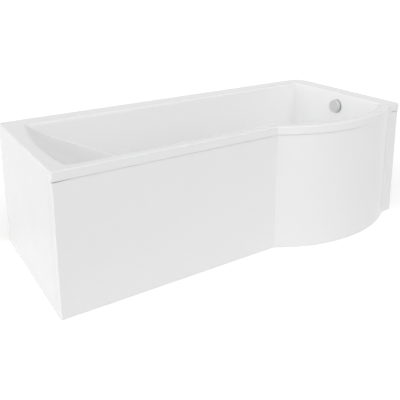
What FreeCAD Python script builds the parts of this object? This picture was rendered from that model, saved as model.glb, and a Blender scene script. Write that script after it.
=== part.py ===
# Asymmetric shower bath: an acrylic shell on adjustable legs, closed in by two panels,
# with a pop-up waste that a knob on the overflow works through a pull wire.
# Millimetres. +X runs to the shower end, +Y to the back wall, +Z up.
# The origin is on the floor, under the middle of the bath.
import FreeCAD
import Part
import math
import os

Vector = FreeCAD.Vector

# Outline from above, measured from the backrest end and the narrow front
LENGTH = 1700.0
WIDTH = 700.0
HEIGHT = 550.0
BULGE = 108.0            # how far the bulge stands in front of the narrow front
BULGE_FROM_END = 395.0   # shower end to the bulge's furthest point
END_FLAT = 60.0          # short flat at the shower end, up to where the bulge would meet it
END_STEP = 10.0          # that flat in front of the narrow front
CREASE_R = 8.0           # hollow corner where the bulge leaves the narrow front
END_BLEND_R = 80.0       # hollow corner where the bulge runs into the short flat
CORNER_R = 8.0           # upright corners of the rim
BACK_CORNER_R = 70.0     # the rim's corner at the back of the shower end

# Shell
SHELL_WALL = 5.0
FASCIA = 36.0            # height of the rim's outer face
RIM_EDGE_R = 5.0
DECK_FRONT = 42.0
DECK_BULGE = 46.0
DECK_BACK = 88.0
DECK_BACKREST = 47.0     # at the middle of the hollow backrest, where it is narrowest
DECK_SHOWER = 87.0
FLOOR_HEIGHT = 145.0     # inside floor above the ground
WALL_DRAFT = math.radians(6.0)
BACKREST_SHARE = 0.458   # the backrest's run, of the length
HEAD_DROP = 17.0         # lip above the line of the straight slope
HEAD_TURN = math.radians(12.0)   # how much steeper the backrest starts at its lip
SCOOP_R = 1450.0         # the lip's hollow curve, from above
SCOOP_SHARE = 0.394      # its middle, of the width, from the narrow front
BASIN_JUNCTION_R = 150.0
BASIN_FRONT_CORNER_R = 45.0
BASIN_BACK_CORNER_R = 14.0   # at the rim
BASIN_BACK_FOOT_R = 40.0     # the same corner at the floor
BACKREST_FOOT_R = 220.0
FLOOR_EDGE_R = 30.0
BACK_CREASE_R = 8.0
FRONT_CREASE_R = 25.0
BASIN_LIP_R = 10.0
BACKREST_LIP_R = 18.0    # the softer lip over the backrest

# Base board, saddle block and leg rails
BOARD_THICK = 18.0
BOARD_MARGIN = 45.0      # board edge inside the foot of the basin's walls
SADDLE_THICK = 60.0
SADDLE_LENGTH = 300.0
RAIL_WIDTH = 40.0
RAIL_HEIGHT = 25.0
RAIL_WALL = 2.0
RAIL_TAIL = 30.0         # rail past the foot's axis
BACKREST_RAIL_SHARE = 0.282   # of the length, from the backrest end
MIDDLE_RAIL_SHARE = 0.306     # of the flat floor, from the foot of the backrest
SHOWER_RAIL = 200.0      # from the shower end
RAIL_SCREW_SPAN = 220.0
RAIL_SCREW_R = 2.5
RAIL_SCREW_LENGTH = 14.0
RAIL_SCREW_HEAD_R = 5.0
RAIL_SCREW_HEAD = 3.0

# Adjustable feet
FOOT_INSET = 55.0        # front foot behind the front panel's inner face
FOOT_BACK_INSET = 75.0   # back foot in front of the wall
STEM_R = 5.0
STEM_ABOVE_RAIL = 48.0
PAD_R = 25.0
PAD_HEIGHT = 20.0
PAD_SOCKET = 10.0
PAD_EDGE_R = 4.0
NUT_FLATS = 17.0
NUT_HEIGHT = 8.0

# Panels
PANEL_WALL = 4.0
PANEL_INSET = 3.0        # panel face behind the fascia's face
PANEL_TOP_GAP = 1.6
PANEL_FLOOR_GAP = 2.0
PANEL_FLANGE = 22.0
PANEL_RETURN = 45.0      # front panel's leg round each end
PANEL_SEAM = 1.0
PANEL_WALL_GAP = 2.0
TIP_DROP = 2.5           # front panel's top edge falls away towards both ends
TIP_LENGTH = 80.0
STRIP_WIDTH = 50.0
STRIP_THICK = 2.0
STRIP_END_GAP = 0.5

# Rim blocks, panel clips and their screws
BLOCK_LENGTH = 50.0
BLOCK_DEPTH = 22.0
BLOCK_HEIGHT = 18.0
BLOCK_INSET = 10.0       # block behind the fascia's face
CLIP_WIDTH = 24.0
CLIP_THICK = 2.0
CLIP_TOE = 14.0          # free end of the clip's lower leg behind the fascia's face
CLIP_SCREW_R = 2.0
CLIP_SCREW_LENGTH = 10.0
CLIP_SCREW_HEAD_R = 4.0
CLIP_SCREW_HEAD = 2.0
STRAIGHT_CLIP_SHARES = (0.1, 0.5, 0.9)
BULGE_CLIP_SHARES = (0.2, 0.5, 0.8)
END_CLIP_SHARES = (0.2, 0.8)

# Stays between the rails and the panels' lower flanges
STAY_WIDTH = 20.0
STAY_THICK = 2.5
STAY_LEG = 19.0          # upright leg behind the panel's inner face
STAY_TOE = 9.0           # toe behind the panel's inner face
STAY_GRIP = 23.0         # length of the leg under the rail
STAY_TAB = 21.0          # end stay's upright tab on the rail
STAY_SCREW_R = 1.75
STAY_SCREW_HEAD_R = 3.5
STAY_SCREW_HEAD = 2.5

# Wall hooks
HOOK_WIDTH = 50.0
HOOK_THICK = 2.5
HOOK_PLATE = 48.0        # plate below the fascia
HOOK_REACH = 14.5
HOOK_LIP = 15.0
HOOK_HOLE_R = 2.75
HOOK_HOLE_SPAN = 30.0
HOOK_HOLE_DROP = 24.0
BACK_HOOK_SHARES = (0.2, 0.75)

# Waste in the floor
DRAIN_FROM_END = 320.0   # shower end to the drain's axis
DRAIN_SHARE = 0.433      # of the width, from the narrow front
WASTE_HOLE_R = 26.0
GASKET_THICK = 3.0
WASTE_FLANGE_R = 36.0
WASTE_FLANGE_THICK = 2.5
WASTE_SLEEVE_R = 25.0
WASTE_SLEEVE_WALL = 3.0
WASTE_SLEEVE = 20.0      # sleeve inside the waste body's neck
WASTE_SEAT_R = 44.0
WASTE_SEAT_THICK = 6.0
WASTE_NECK = 22.0
WASTE_NECK_WALL = 6.0
WASTE_R = 38.0
WASTE_WALL = 4.0
BRIDGE_WIDTH = 5.0
BRIDGE_HEIGHT = 8.0
HUB_WALL = 4.0
WASTE_BOARD_GAP = 8.0

# Pop-up plug and the lever that lifts it
PLUG_R = 31.0
PLUG_THICK = 6.0
PLUG_EDGE_R = 4.0
SEAL_R = 29.0
SEAL_WIDTH = 6.0
SEAL_THICK = 2.0
PLUG_STEM_R = 3.0
LEVER_Z = 80.0           # lever's shaft above the ground
LEVER_X = 14.0           # lever's shaft beside the drain's axis
LEVER_SHAFT_R = 3.0
LEVER_ARM = 18.0
LEVER_ARM_WIDTH = 6.0
LEVER_CRANK = 16.0
LEVER_CRANK_WIDTH = 4.0
LEVER_LIFT_GAP = 0.5

# Trap and outlet
INLET_R = 22.0
INLET_WALL = 3.5
INLET_Z = 62.0
INLET_REACH = 60.0       # waste body's outlet from the drain's axis
TRAP_OFFSET = 110.0      # trap's axis behind the drain's axis
TRAP_R = 36.0
TRAP_WALL = 3.5
TRAP_LOW = 14.0
TRAP_BOARD_GAP = 20.0
TRAP_CAP = 8.0
TRAP_CAP_LIP = 3.0
OUTLET_R = 20.0
OUTLET_WALL = 2.3
OUTLET_Z = 70.0
OUTLET_SOCKET_WALL = 4.0
OUTLET_SOCKET = 70.0     # socket's end behind the trap's axis
OUTLET_IN_SOCKET = 22.0
OUTLET_END_GAP = 14.0    # pipe's end in front of the wall
OUTLET_SPIGOT = 60.0     # free end of the pipe, up to its stop bead
OUTLET_BEAD = 3.0
UNION_WALL = 6.0
UNION_LENGTH = 20.0
OUTLET_NUT_WALL = 9.0
OUTLET_NUT_LENGTH = 14.0

# Overflow on the shower end's wall
OVERFLOW_DROP = 67.5     # overflow's axis below the rim
OVERFLOW_HOLE_R = 22.6
ROSETTE_R = 37.0
ROSETTE_THICK = 4.0
ROSETTE_EDGE_R = 3.0
ROSETTE_SLEEVE_R = 22.0
ROSETTE_SLEEVE_WALL = 3.0
ROSETTE_SLEEVE = 24.0
OVERFLOW_R = 34.0
OVERFLOW_SEAT = 6.0
OVERFLOW_CHAMBER = 38.0
OVERFLOW_WALL = 3.0
SPOUT_R = 18.0
SPOUT_WALL = 3.5
SPOUT_REACH = 62.0

# Knob, shaft and crank
KNOB_R = 33.0
KNOB_WALL = 3.0
KNOB_GAP = 2.5           # water slot between the rosette and the knob
KNOB_DEPTH = 13.5
KNOB_FACE = 4.0
KNOB_EDGE_R = 3.5
KNOB_HUB_R = 8.0
KNOB_SHAFT_R = 4.0
KNOB_SHAFT_END = 15.0    # shaft's front end in front of the wall
SHAFT_BACK_GAP = 0.5
CRANK_REACH = 28.0
CRANK_WIDTH = 8.0
CRANK_THICK = 6.0
CRANK_BACK_GAP = 3.0
GRUB_R = 2.0

# Overflow pipe, its nuts, and the pull wire in its guide tube
PIPE_R = 16.0
PIPE_WALL = 2.5
PIPE_BEND = 90.0
PIPE_Z = 64.0
PIPE_REACH = 62.0        # pipe's end from the drain's axis
PIPE_NUT_WALL = 4.5
PIPE_NUT_GRIP = 10.0
GUIDE_SIDE = 27.0        # guide tube beside the pipe
GUIDE_R = 3.0
GUIDE_BORE_R = 1.2
WIRE_R = 0.9
GLAND_R = 5.5
GLAND_REACH = 44.0       # glands' ends from the axes of the overflow and the drain

# Clearances, and how far cutters reach past a face
FIT = 0.05
SLIP = 0.2
SCREW_SLACK = 0.1
OVERRUN = 20.0
STEEP = -0.5             # faces whose normal points lower than this count as floor

# Places worked out from the sizes
X_BACKREST = -LENGTH / 2
X_SHOWER = LENGTH / 2
Y_BACK = (WIDTH + BULGE) / 2
Y_FRONT = Y_BACK - WIDTH
BULGE_X = X_SHOWER - BULGE_FROM_END
BULGE_RISE = BULGE - END_STEP
BULGE_R = ((BULGE_FROM_END - END_FLAT) ** 2 + BULGE_RISE ** 2) / (2 * BULGE_RISE)
BULGE_Y = Y_FRONT - BULGE + BULGE_R
FASCIA_LOW = HEIGHT - FASCIA
UNDERSIDE = FLOOR_HEIGHT - SHELL_WALL
BACKREST_RUN = LENGTH * BACKREST_SHARE
BACKREST_SLOPE = math.atan((HEIGHT - FLOOR_HEIGHT - HEAD_DROP) / BACKREST_RUN)
LIP_SLOPE = BACKREST_SLOPE + HEAD_TURN
LIP_X = X_BACKREST + DECK_BACKREST
FLOOR_START = LIP_X + BACKREST_RUN + BACKREST_FOOT_R * math.tan(BACKREST_SLOPE / 2)
HEAD_R = HEAD_DROP * math.cos(BACKREST_SLOPE) / (1 - math.cos(HEAD_TURN))
HEAD_CENTRE = LIP_X + HEAD_R * math.sin(LIP_SLOPE), HEIGHT + HEAD_R * math.cos(LIP_SLOPE)
FOOT_CENTRE = FLOOR_START, FLOOR_HEIGHT + BACKREST_FOOT_R
SCOOP_X = LIP_X + SCOOP_R
SCOOP_Y = Y_FRONT + WIDTH * SCOOP_SHARE
BOARD_LOW = UNDERSIDE - BOARD_THICK
RAIL_LOW = BOARD_LOW - RAIL_HEIGHT
PANEL_TOP = FASCIA_LOW - PANEL_TOP_GAP
PANEL_BACK = PANEL_INSET + PANEL_WALL
FLANGE_TOP = PANEL_FLOOR_GAP + PANEL_WALL
BLOCK_LOW = HEIGHT - SHELL_WALL - BLOCK_HEIGHT
DRAIN_X = X_SHOWER - DRAIN_FROM_END
DRAIN_Y = Y_FRONT + WIDTH * DRAIN_SHARE
WASTE_TOP = UNDERSIDE - GASKET_THICK
WASTE_ROOF = WASTE_TOP - WASTE_NECK
WASTE_LOW = INLET_Z - INLET_R - WASTE_WALL
TRAP_TOP = BOARD_LOW - TRAP_BOARD_GAP
RAIL_PLACES = {
    "backrest": X_BACKREST + LENGTH * BACKREST_RAIL_SHARE,
    "middle": FLOOR_START + (X_SHOWER - FLOOR_START) * MIDDLE_RAIL_SHARE,
    "shower": X_SHOWER - SHOWER_RAIL,
}

# The overflow's own axes: x up the wall, z out of the wall into the basin
OVERFLOW_Z = HEIGHT - OVERFLOW_DROP
OVERFLOW_X = X_SHOWER - DECK_SHOWER - OVERFLOW_DROP * math.tan(WALL_DRAFT)
OVERFLOW_AXIS = Vector(-math.cos(WALL_DRAFT), 0, math.sin(WALL_DRAFT))
OVERFLOW_PLACE = FreeCAD.Placement(
    Vector(OVERFLOW_X, DRAIN_Y, OVERFLOW_Z),
    FreeCAD.Rotation(Vector(0, 0, 1), OVERFLOW_AXIS),
)
SEAT_BACK = -SHELL_WALL - GASKET_THICK
CHAMBER_FRONT = SEAT_BACK - OVERFLOW_SEAT
CHAMBER_BACK = CHAMBER_FRONT - OVERFLOW_CHAMBER
SPOUT_DEPTH = CHAMBER_FRONT - OVERFLOW_CHAMBER / 2
CRANK_LOW = CHAMBER_BACK + OVERFLOW_WALL + CRANK_BACK_GAP
GUIDE_DEPTH = CRANK_LOW + CRANK_THICK / 2
KNOB_LOW = ROSETTE_THICK + KNOB_GAP


# Plain shapes
def block(x_low, x_high, y_low, y_high, z_low, z_high):
    corner = Vector(x_low, y_low, z_low)
    return Part.makeBox(x_high - x_low, y_high - y_low, z_high - z_low, corner)


def rod(radius, start, end):
    return Part.makeCylinder(radius, (end - start).Length, start, end - start)


def pipe(outer, inner, start, end):
    along = (end - start).normalize() * OVERRUN
    return rod(outer, start, end).cut(rod(inner, start - along, end + along))


def disc(radius, low, high):
    return rod(radius, Vector(0, 0, low), Vector(0, 0, high))


def ring(outer, inner, low, high):
    return pipe(outer, inner, Vector(0, 0, low), Vector(0, 0, high))


def plate(points, width):
    """A bent strip: its side view as (along, up) points in the XZ plane, width along Y."""
    corners = [Vector(along, -width / 2, up) for along, up in points]
    return Part.Face(Part.makePolygon(corners + corners[:1])).extrude(Vector(0, width, 0))


def hex_nut(low, high):
    reach = NUT_FLATS / 2 / math.cos(math.pi / 6)
    turns = [math.pi / 3 * step for step in range(7)]
    corners = [Vector(reach * math.cos(turn), reach * math.sin(turn), low) for turn in turns]
    prism = Part.Face(Part.makePolygon(corners)).extrude(Vector(0, 0, high - low))
    return prism.cut(disc(STEM_R + SCREW_SLACK, low - OVERRUN, high + OVERRUN))


def screw(radius, length, head_radius, head):
    """A pan-head screw that points up, with the head's underside at zero height."""
    return disc(head_radius, -head, 0).fuse(disc(radius, -head, length))


def placed(shape, x, y, z=0, turn=0):
    place = FreeCAD.Placement(Vector(x, y, z), FreeCAD.Rotation(Vector(0, 0, 1), math.degrees(turn)))
    return shape.transformed(place.toMatrix())


def at_drain(shape):
    return placed(shape, DRAIN_X, DRAIN_Y)


def at_overflow(shape):
    return shape.transformed(OVERFLOW_PLACE.toMatrix())


def round_edges(solid, radii):
    """Round numbered edges, each with the radius at its start and at its end."""
    document = FreeCAD.newDocument()
    base = document.addObject("Part::Feature")
    base.Shape = solid
    rounding = document.addObject("Part::Fillet")
    rounding.Base = base
    rounding.Edges = radii
    document.recompute()
    result = rounding.Shape.copy().Solids[0]
    FreeCAD.closeDocument(document.Name)
    return result


# Outline of the bath from above
def line(start, end, z):
    return Part.LineSegment(Vector(*start, z), Vector(*end, z)).toShape()


def arc(centre, radius, start, end, z):
    """The shorter arc about a centre from start to end."""
    middle = Vector(start[0] + end[0] - 2 * centre[0], start[1] + end[1] - 2 * centre[1], 0)
    middle = Vector(*centre, 0) + middle.normalize() * radius
    return Part.Arc(Vector(*start, z), Vector(middle.x, middle.y, z), Vector(*end, z)).toShape()


def hollow_centre(front, bulge_radius, radius, side):
    """Centre of the hollow corner between a front line and the bulge, on one side of its peak."""
    across = (bulge_radius + radius) ** 2 - (front - radius - BULGE_Y) ** 2
    return BULGE_X + side * math.sqrt(across), front - radius


def towards_bulge(centre, radius):
    """The point of the bulge's circle, of a given radius, in the direction of a corner's centre."""
    across, along = centre[0] - BULGE_X, centre[1] - BULGE_Y
    share = radius / math.hypot(across, along)
    return BULGE_X + across * share, BULGE_Y + along * share


def rim_wire(inset, z):
    left, right = X_BACKREST + inset, X_SHOWER - inset
    front, end_front, back = Y_FRONT + inset, Y_FRONT - END_STEP + inset, Y_BACK - inset
    start_centre = hollow_centre(Y_FRONT, BULGE_R, CREASE_R, -1)
    stop_centre = hollow_centre(Y_FRONT - END_STEP, BULGE_R, END_BLEND_R, 1)
    start = towards_bulge(start_centre, BULGE_R - inset)
    stop = towards_bulge(stop_centre, BULGE_R - inset)
    return Part.Wire([
        line((left, front), (start_centre[0], front), z),
        arc(start_centre, CREASE_R + inset, (start_centre[0], front), start, z),
        arc((BULGE_X, BULGE_Y), BULGE_R - inset, start, stop, z),
        arc(stop_centre, END_BLEND_R + inset, stop, (stop_centre[0], end_front), z),
        line((stop_centre[0], end_front), (right, end_front), z),
        line((right, end_front), (right, back), z),
        line((right, back), (left, back), z),
        line((left, back), (left, front), z),
    ])


def outline_block(inset, low, high):
    """The bath's outline as a solid, its sides inset from the rim's outer face."""
    solid = Part.Face(rim_wire(inset, low)).extrude(Vector(0, 0, high - low))
    side = LENGTH / 2 - inset
    radii = []
    for number, edge in enumerate(solid.Edges, start=1):
        middle = edge.CenterOfMass
        if edge.BoundBox.ZLength < FIT or abs(abs(middle.x) - side) > FIT:
            continue
        outer = BACK_CORNER_R if middle.x > 0 and middle.y > 0 else CORNER_R
        if outer > inset:
            radii.append((number, outer - inset, outer - inset))
    return round_edges(solid, radii)


def front_y(x, inset):
    """Where the front stands at a place along the bath."""
    on_bulge = BULGE_Y - math.sqrt((BULGE_R - inset) ** 2 - min(abs(x - BULGE_X), BULGE_R - inset) ** 2)
    return min(Y_FRONT + inset, on_bulge)


# Shell
def basin_wire(z, grow):
    """The basin's walls at one height, moved out by grow."""
    inset = (HEIGHT - z) * math.tan(WALL_DRAFT) - grow / math.cos(WALL_DRAFT)
    left, right = X_BACKREST, X_SHOWER - DECK_SHOWER - inset
    front, back = Y_FRONT + DECK_FRONT + inset, Y_BACK - DECK_BACK - inset
    radius = BULGE_R - DECK_BULGE - inset
    junction = hollow_centre(Y_FRONT + DECK_FRONT, BULGE_R - DECK_BULGE, BASIN_JUNCTION_R, -1)
    leave = towards_bulge(junction, radius)
    corner_x = right - BASIN_FRONT_CORNER_R
    across = (radius - BASIN_FRONT_CORNER_R) ** 2 - (corner_x - BULGE_X) ** 2
    corner = (corner_x, BULGE_Y - math.sqrt(across))
    arrive = towards_bulge(corner, radius)
    depth_share = (HEIGHT - z) / (HEIGHT - FLOOR_HEIGHT)
    rear_radius = BASIN_BACK_CORNER_R + (BASIN_BACK_FOOT_R - BASIN_BACK_CORNER_R) * depth_share
    rear = (right - rear_radius, back - rear_radius)
    return Part.Wire([
        line((left, front), (junction[0], front), z),
        arc(junction, BASIN_JUNCTION_R + inset, (junction[0], front), leave, z),
        arc((BULGE_X, BULGE_Y), radius, leave, arrive, z),
        arc(corner, BASIN_FRONT_CORNER_R, arrive, (right, corner[1]), z),
        line((right, corner[1]), (right, rear[1]), z),
        arc(rear, rear_radius, (right, rear[1]), (rear[0], back), z),
        line((rear[0], back), (left, back), z),
        line((left, back), (left, front), z),
    ])


def hollow_point(centre, radius, slope):
    """Where a hollow arc, seen from the side, has a given slope."""
    return centre[0] - radius * math.sin(slope), centre[1] - radius * math.cos(slope)


def lengthwise_block(top, grow):
    """Backrest with its hollow head and foot, turned about an upright axis, and the flat floor."""
    head_radius, foot_radius = HEAD_R + grow, BACKREST_FOOT_R + grow
    top_slope = math.acos((HEAD_CENTRE[1] - top) / head_radius)
    head_slopes = (top_slope, (top_slope + BACKREST_SLOPE) / 2, BACKREST_SLOPE)
    foot_slopes = (BACKREST_SLOPE, BACKREST_SLOPE / 2, 0)
    points = [hollow_point(HEAD_CENTRE, head_radius, slope) for slope in head_slopes]
    points += [hollow_point(FOOT_CENTRE, foot_radius, slope) for slope in foot_slopes]
    floor = FLOOR_HEIGHT - grow
    points += [(SCOOP_X, floor), (SCOOP_X, top)]
    head, middle, knee, rise, bend, flat, low, high = [Vector(x, SCOOP_Y, z) for x, z in points]
    outline = Part.Wire([
        Part.Arc(head, middle, knee).toShape(),
        Part.LineSegment(knee, rise).toShape(),
        Part.Arc(rise, bend, flat).toShape(),
        Part.LineSegment(flat, low).toShape(),
        Part.LineSegment(low, high).toShape(),
        Part.LineSegment(high, head).toShape(),
    ])
    side, upright = Part.Face(outline), Vector(0, 0, 1)
    side.rotate(low, upright, -90)
    shower_part = block(SCOOP_X, SCOOP_X + LENGTH, Y_FRONT - BULGE, Y_BACK, floor, top)
    return side.revolve(low, upright, 180).fuse(shower_part).removeSplitter()


def basin_radii(solid, top, grow):
    """Edge numbers round the floor and up both creases of the backrest, with their radii."""
    radii = []
    floor = FLOOR_HEIGHT - grow
    for number, edge in enumerate(solid.Edges, start=1):
        faces = solid.ancestorsOfType(edge, Part.Face)
        facing_down = [face for face in faces if face.normalAt(*middle_of(face)).z < STEEP]
        if len(facing_down) != 1 or edge.BoundBox.ZMin > top - FIT:
            continue
        crease = FRONT_CREASE_R if edge.CenterOfMass.y < 0 else BACK_CREASE_R
        ends = [vertex.Point.z for vertex in (edge.firstVertex(), edge.lastVertex())]
        radii.append((number, *[(crease if z > floor + FIT else FLOOR_EDGE_R) + grow for z in ends]))
    return radii


def middle_of(face):
    u_low, u_high, v_low, v_high = face.ParameterRange
    return (u_low + u_high) / 2, (v_low + v_high) / 2


def basin(top, grow):
    """The basin as a solid, from its floor up to a height, moved out by grow."""
    foot = FLOOR_HEIGHT - grow - OVERRUN
    walls = Part.makeLoft([basin_wire(top, grow), basin_wire(foot, grow)], True, True)
    solid = lengthwise_block(top, grow).common(walls)
    return round_edges(solid, basin_radii(solid, top, grow))


def rim():
    outer = outline_block(0, FASCIA_LOW, HEIGHT)
    top_edges = [edge for edge in outer.Edges if edge.BoundBox.ZMin > HEIGHT - FIT]
    outer = outer.makeFillet(RIM_EDGE_R, top_edges)
    return outer.cut(outline_block(SHELL_WALL, FASCIA_LOW - OVERRUN, HEIGHT - SHELL_WALL))


def lip_radii(shell):
    """Edge numbers round the basin's opening, with the radii of its lip."""
    level = [face for face in shell.Faces if face.BoundBox.ZMin > HEIGHT - FIT]
    deck = max(level, key=lambda face: face.Area)
    opening = [wire for wire in deck.Wires if not wire.isSame(deck.OuterWire)][0]
    backrest_lip = min(opening.Edges, key=lambda edge: edge.CenterOfMass.x)
    tips = [vertex.Point for vertex in backrest_lip.Vertexes]
    radii = []
    for number, edge in enumerate(shell.Edges, start=1):
        if not any(edge.isSame(one) for one in opening.Edges):
            continue
        ends = [vertex.Point for vertex in (edge.firstVertex(), edge.lastVertex())]
        soft = [min(end.distanceToPoint(tip) for tip in tips) < FIT for end in ends]
        radii.append((number, *[BACKREST_LIP_R if one else BASIN_LIP_R for one in soft]))
    return radii


def bath_shell():
    shell = rim().fuse(basin(HEIGHT - SHELL_WALL / 2, SHELL_WALL))
    shell = shell.cut(basin(HEIGHT + OVERRUN, 0)).removeSplitter()
    shell = round_edges(shell, lip_radii(shell))
    shell = shell.cut(at_drain(disc(WASTE_HOLE_R, UNDERSIDE - OVERRUN, FLOOR_HEIGHT + OVERRUN)))
    return shell.cut(at_overflow(disc(OVERFLOW_HOLE_R, -SHELL_WALL - OVERRUN, OVERRUN)))


# Base board, saddle, rails and feet
def rail_screw_places():
    middle = (Y_FRONT + Y_BACK) / 2
    return [middle - RAIL_SCREW_SPAN / 2, middle + RAIL_SCREW_SPAN / 2]


def rail_screw_holes(solid, x):
    low, high = BOARD_LOW - RAIL_WALL - OVERRUN, BOARD_LOW + RAIL_SCREW_LENGTH
    for y in rail_screw_places():
        hole = disc(RAIL_SCREW_R + SCREW_SLACK, low, high)
        solid = solid.cut(placed(hole, x, y))
    return solid


def base_board():
    inset = (HEIGHT - FLOOR_HEIGHT) * math.tan(WALL_DRAFT) + BOARD_MARGIN
    right = X_SHOWER - DECK_SHOWER - inset
    front, back = Y_FRONT + DECK_FRONT + inset, Y_BACK - DECK_BACK - inset
    board = block(FLOOR_START, right, front, back, BOARD_LOW, UNDERSIDE)
    waste_hole = disc(WASTE_SEAT_R + WASTE_BOARD_GAP, BOARD_LOW - OVERRUN, UNDERSIDE + OVERRUN)
    board = board.cut(at_drain(waste_hole))
    for rail in ("middle", "shower"):
        board = rail_screw_holes(board, RAIL_PLACES[rail])
    return board


def backrest_saddle():
    x = RAIL_PLACES["backrest"]
    low_side, high_side = x + SADDLE_THICK / 2, x - SADDLE_THICK / 2
    near, far = (Y_FRONT + Y_BACK - SADDLE_LENGTH) / 2, (Y_FRONT + Y_BACK + SADDLE_LENGTH) / 2
    saddle = block(high_side, low_side, near, far, BOARD_LOW, HEIGHT - SHELL_WALL)
    return rail_screw_holes(saddle.cut(lengthwise_block(HEIGHT, SHELL_WALL)), x)


def foot_places(rail):
    x = RAIL_PLACES[rail]
    return {"front": (x, front_y(x, PANEL_BACK) + FOOT_INSET), "back": (x, Y_BACK - FOOT_BACK_INSET)}


def rail(name):
    x = RAIL_PLACES[name]
    feet = foot_places(name)
    front, back = feet["front"][1] - RAIL_TAIL, feet["back"][1] + RAIL_TAIL
    half = RAIL_WIDTH / 2
    bar = block(x - half, x + half, front, back, RAIL_LOW, BOARD_LOW)
    inner = half - RAIL_WALL
    ceiling = BOARD_LOW - RAIL_WALL
    bar = bar.cut(block(x - inner, x + inner, front - OVERRUN, back + OVERRUN, RAIL_LOW - OVERRUN, ceiling))
    for place in feet.values():
        bar = bar.cut(placed(disc(STEM_R + SLIP, RAIL_LOW, BOARD_LOW + OVERRUN), *place))
    bar = rail_screw_holes(bar, x)
    bar = bar.cut(placed(disc(STAY_SCREW_R + SCREW_SLACK, RAIL_LOW, BOARD_LOW + OVERRUN), x, stay_screw_y(x)))
    if name == "backrest":
        bar = bar.cut(end_stay_rail_screw(SCREW_SLACK))
    return bar


def rail_screws():
    one = screw(RAIL_SCREW_R, RAIL_SCREW_LENGTH, RAIL_SCREW_HEAD_R, RAIL_SCREW_HEAD)
    level = BOARD_LOW - RAIL_WALL
    return [placed(one, x, y, level) for x in RAIL_PLACES.values() for y in rail_screw_places()]


def rail_nuts():
    under = hex_nut(BOARD_LOW - RAIL_WALL - NUT_HEIGHT, BOARD_LOW - RAIL_WALL)
    over = hex_nut(BOARD_LOW, BOARD_LOW + NUT_HEIGHT)
    places = [place for name in RAIL_PLACES for place in foot_places(name).values()]
    return [placed(nut, *place) for place in places for nut in (under, over)]


def foot_stem():
    return disc(STEM_R, PAD_HEIGHT - PAD_SOCKET, BOARD_LOW + STEM_ABOVE_RAIL)


def foot_pad():
    pad = disc(PAD_R, 0, PAD_HEIGHT)
    crown = [edge for edge in pad.Edges if edge.BoundBox.ZMin > PAD_HEIGHT - FIT]
    pad = pad.makeFillet(PAD_EDGE_R, crown)
    return pad.cut(disc(STEM_R + SCREW_SLACK, PAD_HEIGHT - PAD_SOCKET, PAD_HEIGHT + OVERRUN))


# Panels
def panel_band(depth, low, high):
    """A band round the whole outline, from the panel's face inwards."""
    inside = outline_block(PANEL_INSET + depth, low - OVERRUN, high + OVERRUN)
    return outline_block(PANEL_INSET, low, high).cut(inside)


def tip_wedge(start, length):
    """What is cut off the panel's top edge, from a place near its tip to where the edge is level."""
    ceiling = PANEL_TOP + OVERRUN
    side = [(start, PANEL_TOP - TIP_DROP), (length, PANEL_TOP), (length, ceiling), (start, ceiling)]
    return plate(side, 2 * (PANEL_INSET + PANEL_FLANGE))


def front_panel():
    panel = panel_band(PANEL_WALL, PANEL_FLOOR_GAP, PANEL_TOP)
    panel = panel.fuse(panel_band(PANEL_FLANGE, PANEL_FLOOR_GAP, FLANGE_TOP))
    panel = panel.fuse(panel_band(PANEL_FLANGE, PANEL_TOP - PANEL_WALL, PANEL_TOP))
    front_part = block(X_BACKREST - OVERRUN, X_SHOWER + OVERRUN,
                       Y_FRONT - BULGE - OVERRUN, Y_FRONT + PANEL_RETURN, 0, HEIGHT)
    panel = panel.common(front_part).removeSplitter()
    for x in RAIL_PLACES.values():
        hole = disc(STAY_SCREW_R + SCREW_SLACK, -OVERRUN, FLANGE_TOP + OVERRUN)
        panel = panel.cut(placed(hole, x, toe_screw_y(x)))
    panel = panel.cut(placed(tip_wedge(PANEL_BACK, TIP_LENGTH), X_BACKREST, Y_FRONT))
    panel = panel.cut(placed(tip_wedge(0, PANEL_RETURN), X_BACKREST, Y_FRONT, 0, math.pi / 2))
    panel = panel.cut(placed(tip_wedge(PANEL_BACK, TIP_LENGTH), X_SHOWER, Y_FRONT - END_STEP, 0, math.pi))
    return panel.Solids[0]


def end_panel_edges():
    return Y_FRONT + PANEL_RETURN + PANEL_SEAM, Y_BACK - PANEL_WALL_GAP


def end_panel():
    near, far = end_panel_edges()
    face = X_BACKREST + PANEL_INSET
    panel = block(face, face + PANEL_WALL, near, far, PANEL_FLOOR_GAP, PANEL_TOP)
    panel = panel.fuse(block(face, face + PANEL_FLANGE, near, far, PANEL_FLOOR_GAP, FLANGE_TOP))
    panel = panel.fuse(block(face, face + PANEL_FLANGE, near, far, PANEL_TOP - PANEL_WALL, PANEL_TOP))
    hole = disc(STAY_SCREW_R + SCREW_SLACK, -OVERRUN, FLANGE_TOP + OVERRUN)
    return panel.cut(placed(hole, *end_toe_screw())).removeSplitter()


def panel_seam_strip():
    seam = Y_FRONT + PANEL_RETURN
    face = X_BACKREST + PANEL_BACK
    low, high = FLANGE_TOP + STRIP_END_GAP, PANEL_TOP - PANEL_WALL - STRIP_END_GAP
    return block(face, face + STRIP_THICK, seam - STRIP_WIDTH / 2, seam + STRIP_WIDTH / 2, low, high)


# Rim blocks and clips, placed on the outline with their own X pointing inwards
def clip_places():
    places = []
    crease = hollow_centre(Y_FRONT, BULGE_R, CREASE_R, -1)[0]
    finish = hollow_centre(Y_FRONT - END_STEP, BULGE_R, END_BLEND_R, 1)[0]
    for share in STRAIGHT_CLIP_SHARES:
        places.append((X_BACKREST + (crease - X_BACKREST) * share, Y_FRONT, math.pi / 2))
    for share in BULGE_CLIP_SHARES:
        x = crease + (finish - crease) * share
        places.append((x, front_y(x, 0), math.atan2(BULGE_Y - front_y(x, 0), BULGE_X - x)))
    near, far = end_panel_edges()
    for share in END_CLIP_SHARES:
        places.append((X_BACKREST, near + (far - near) * share, 0))
    return places


def on_outline(shape):
    return [placed(shape, x, y, 0, turn) for x, y, turn in clip_places()]


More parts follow.
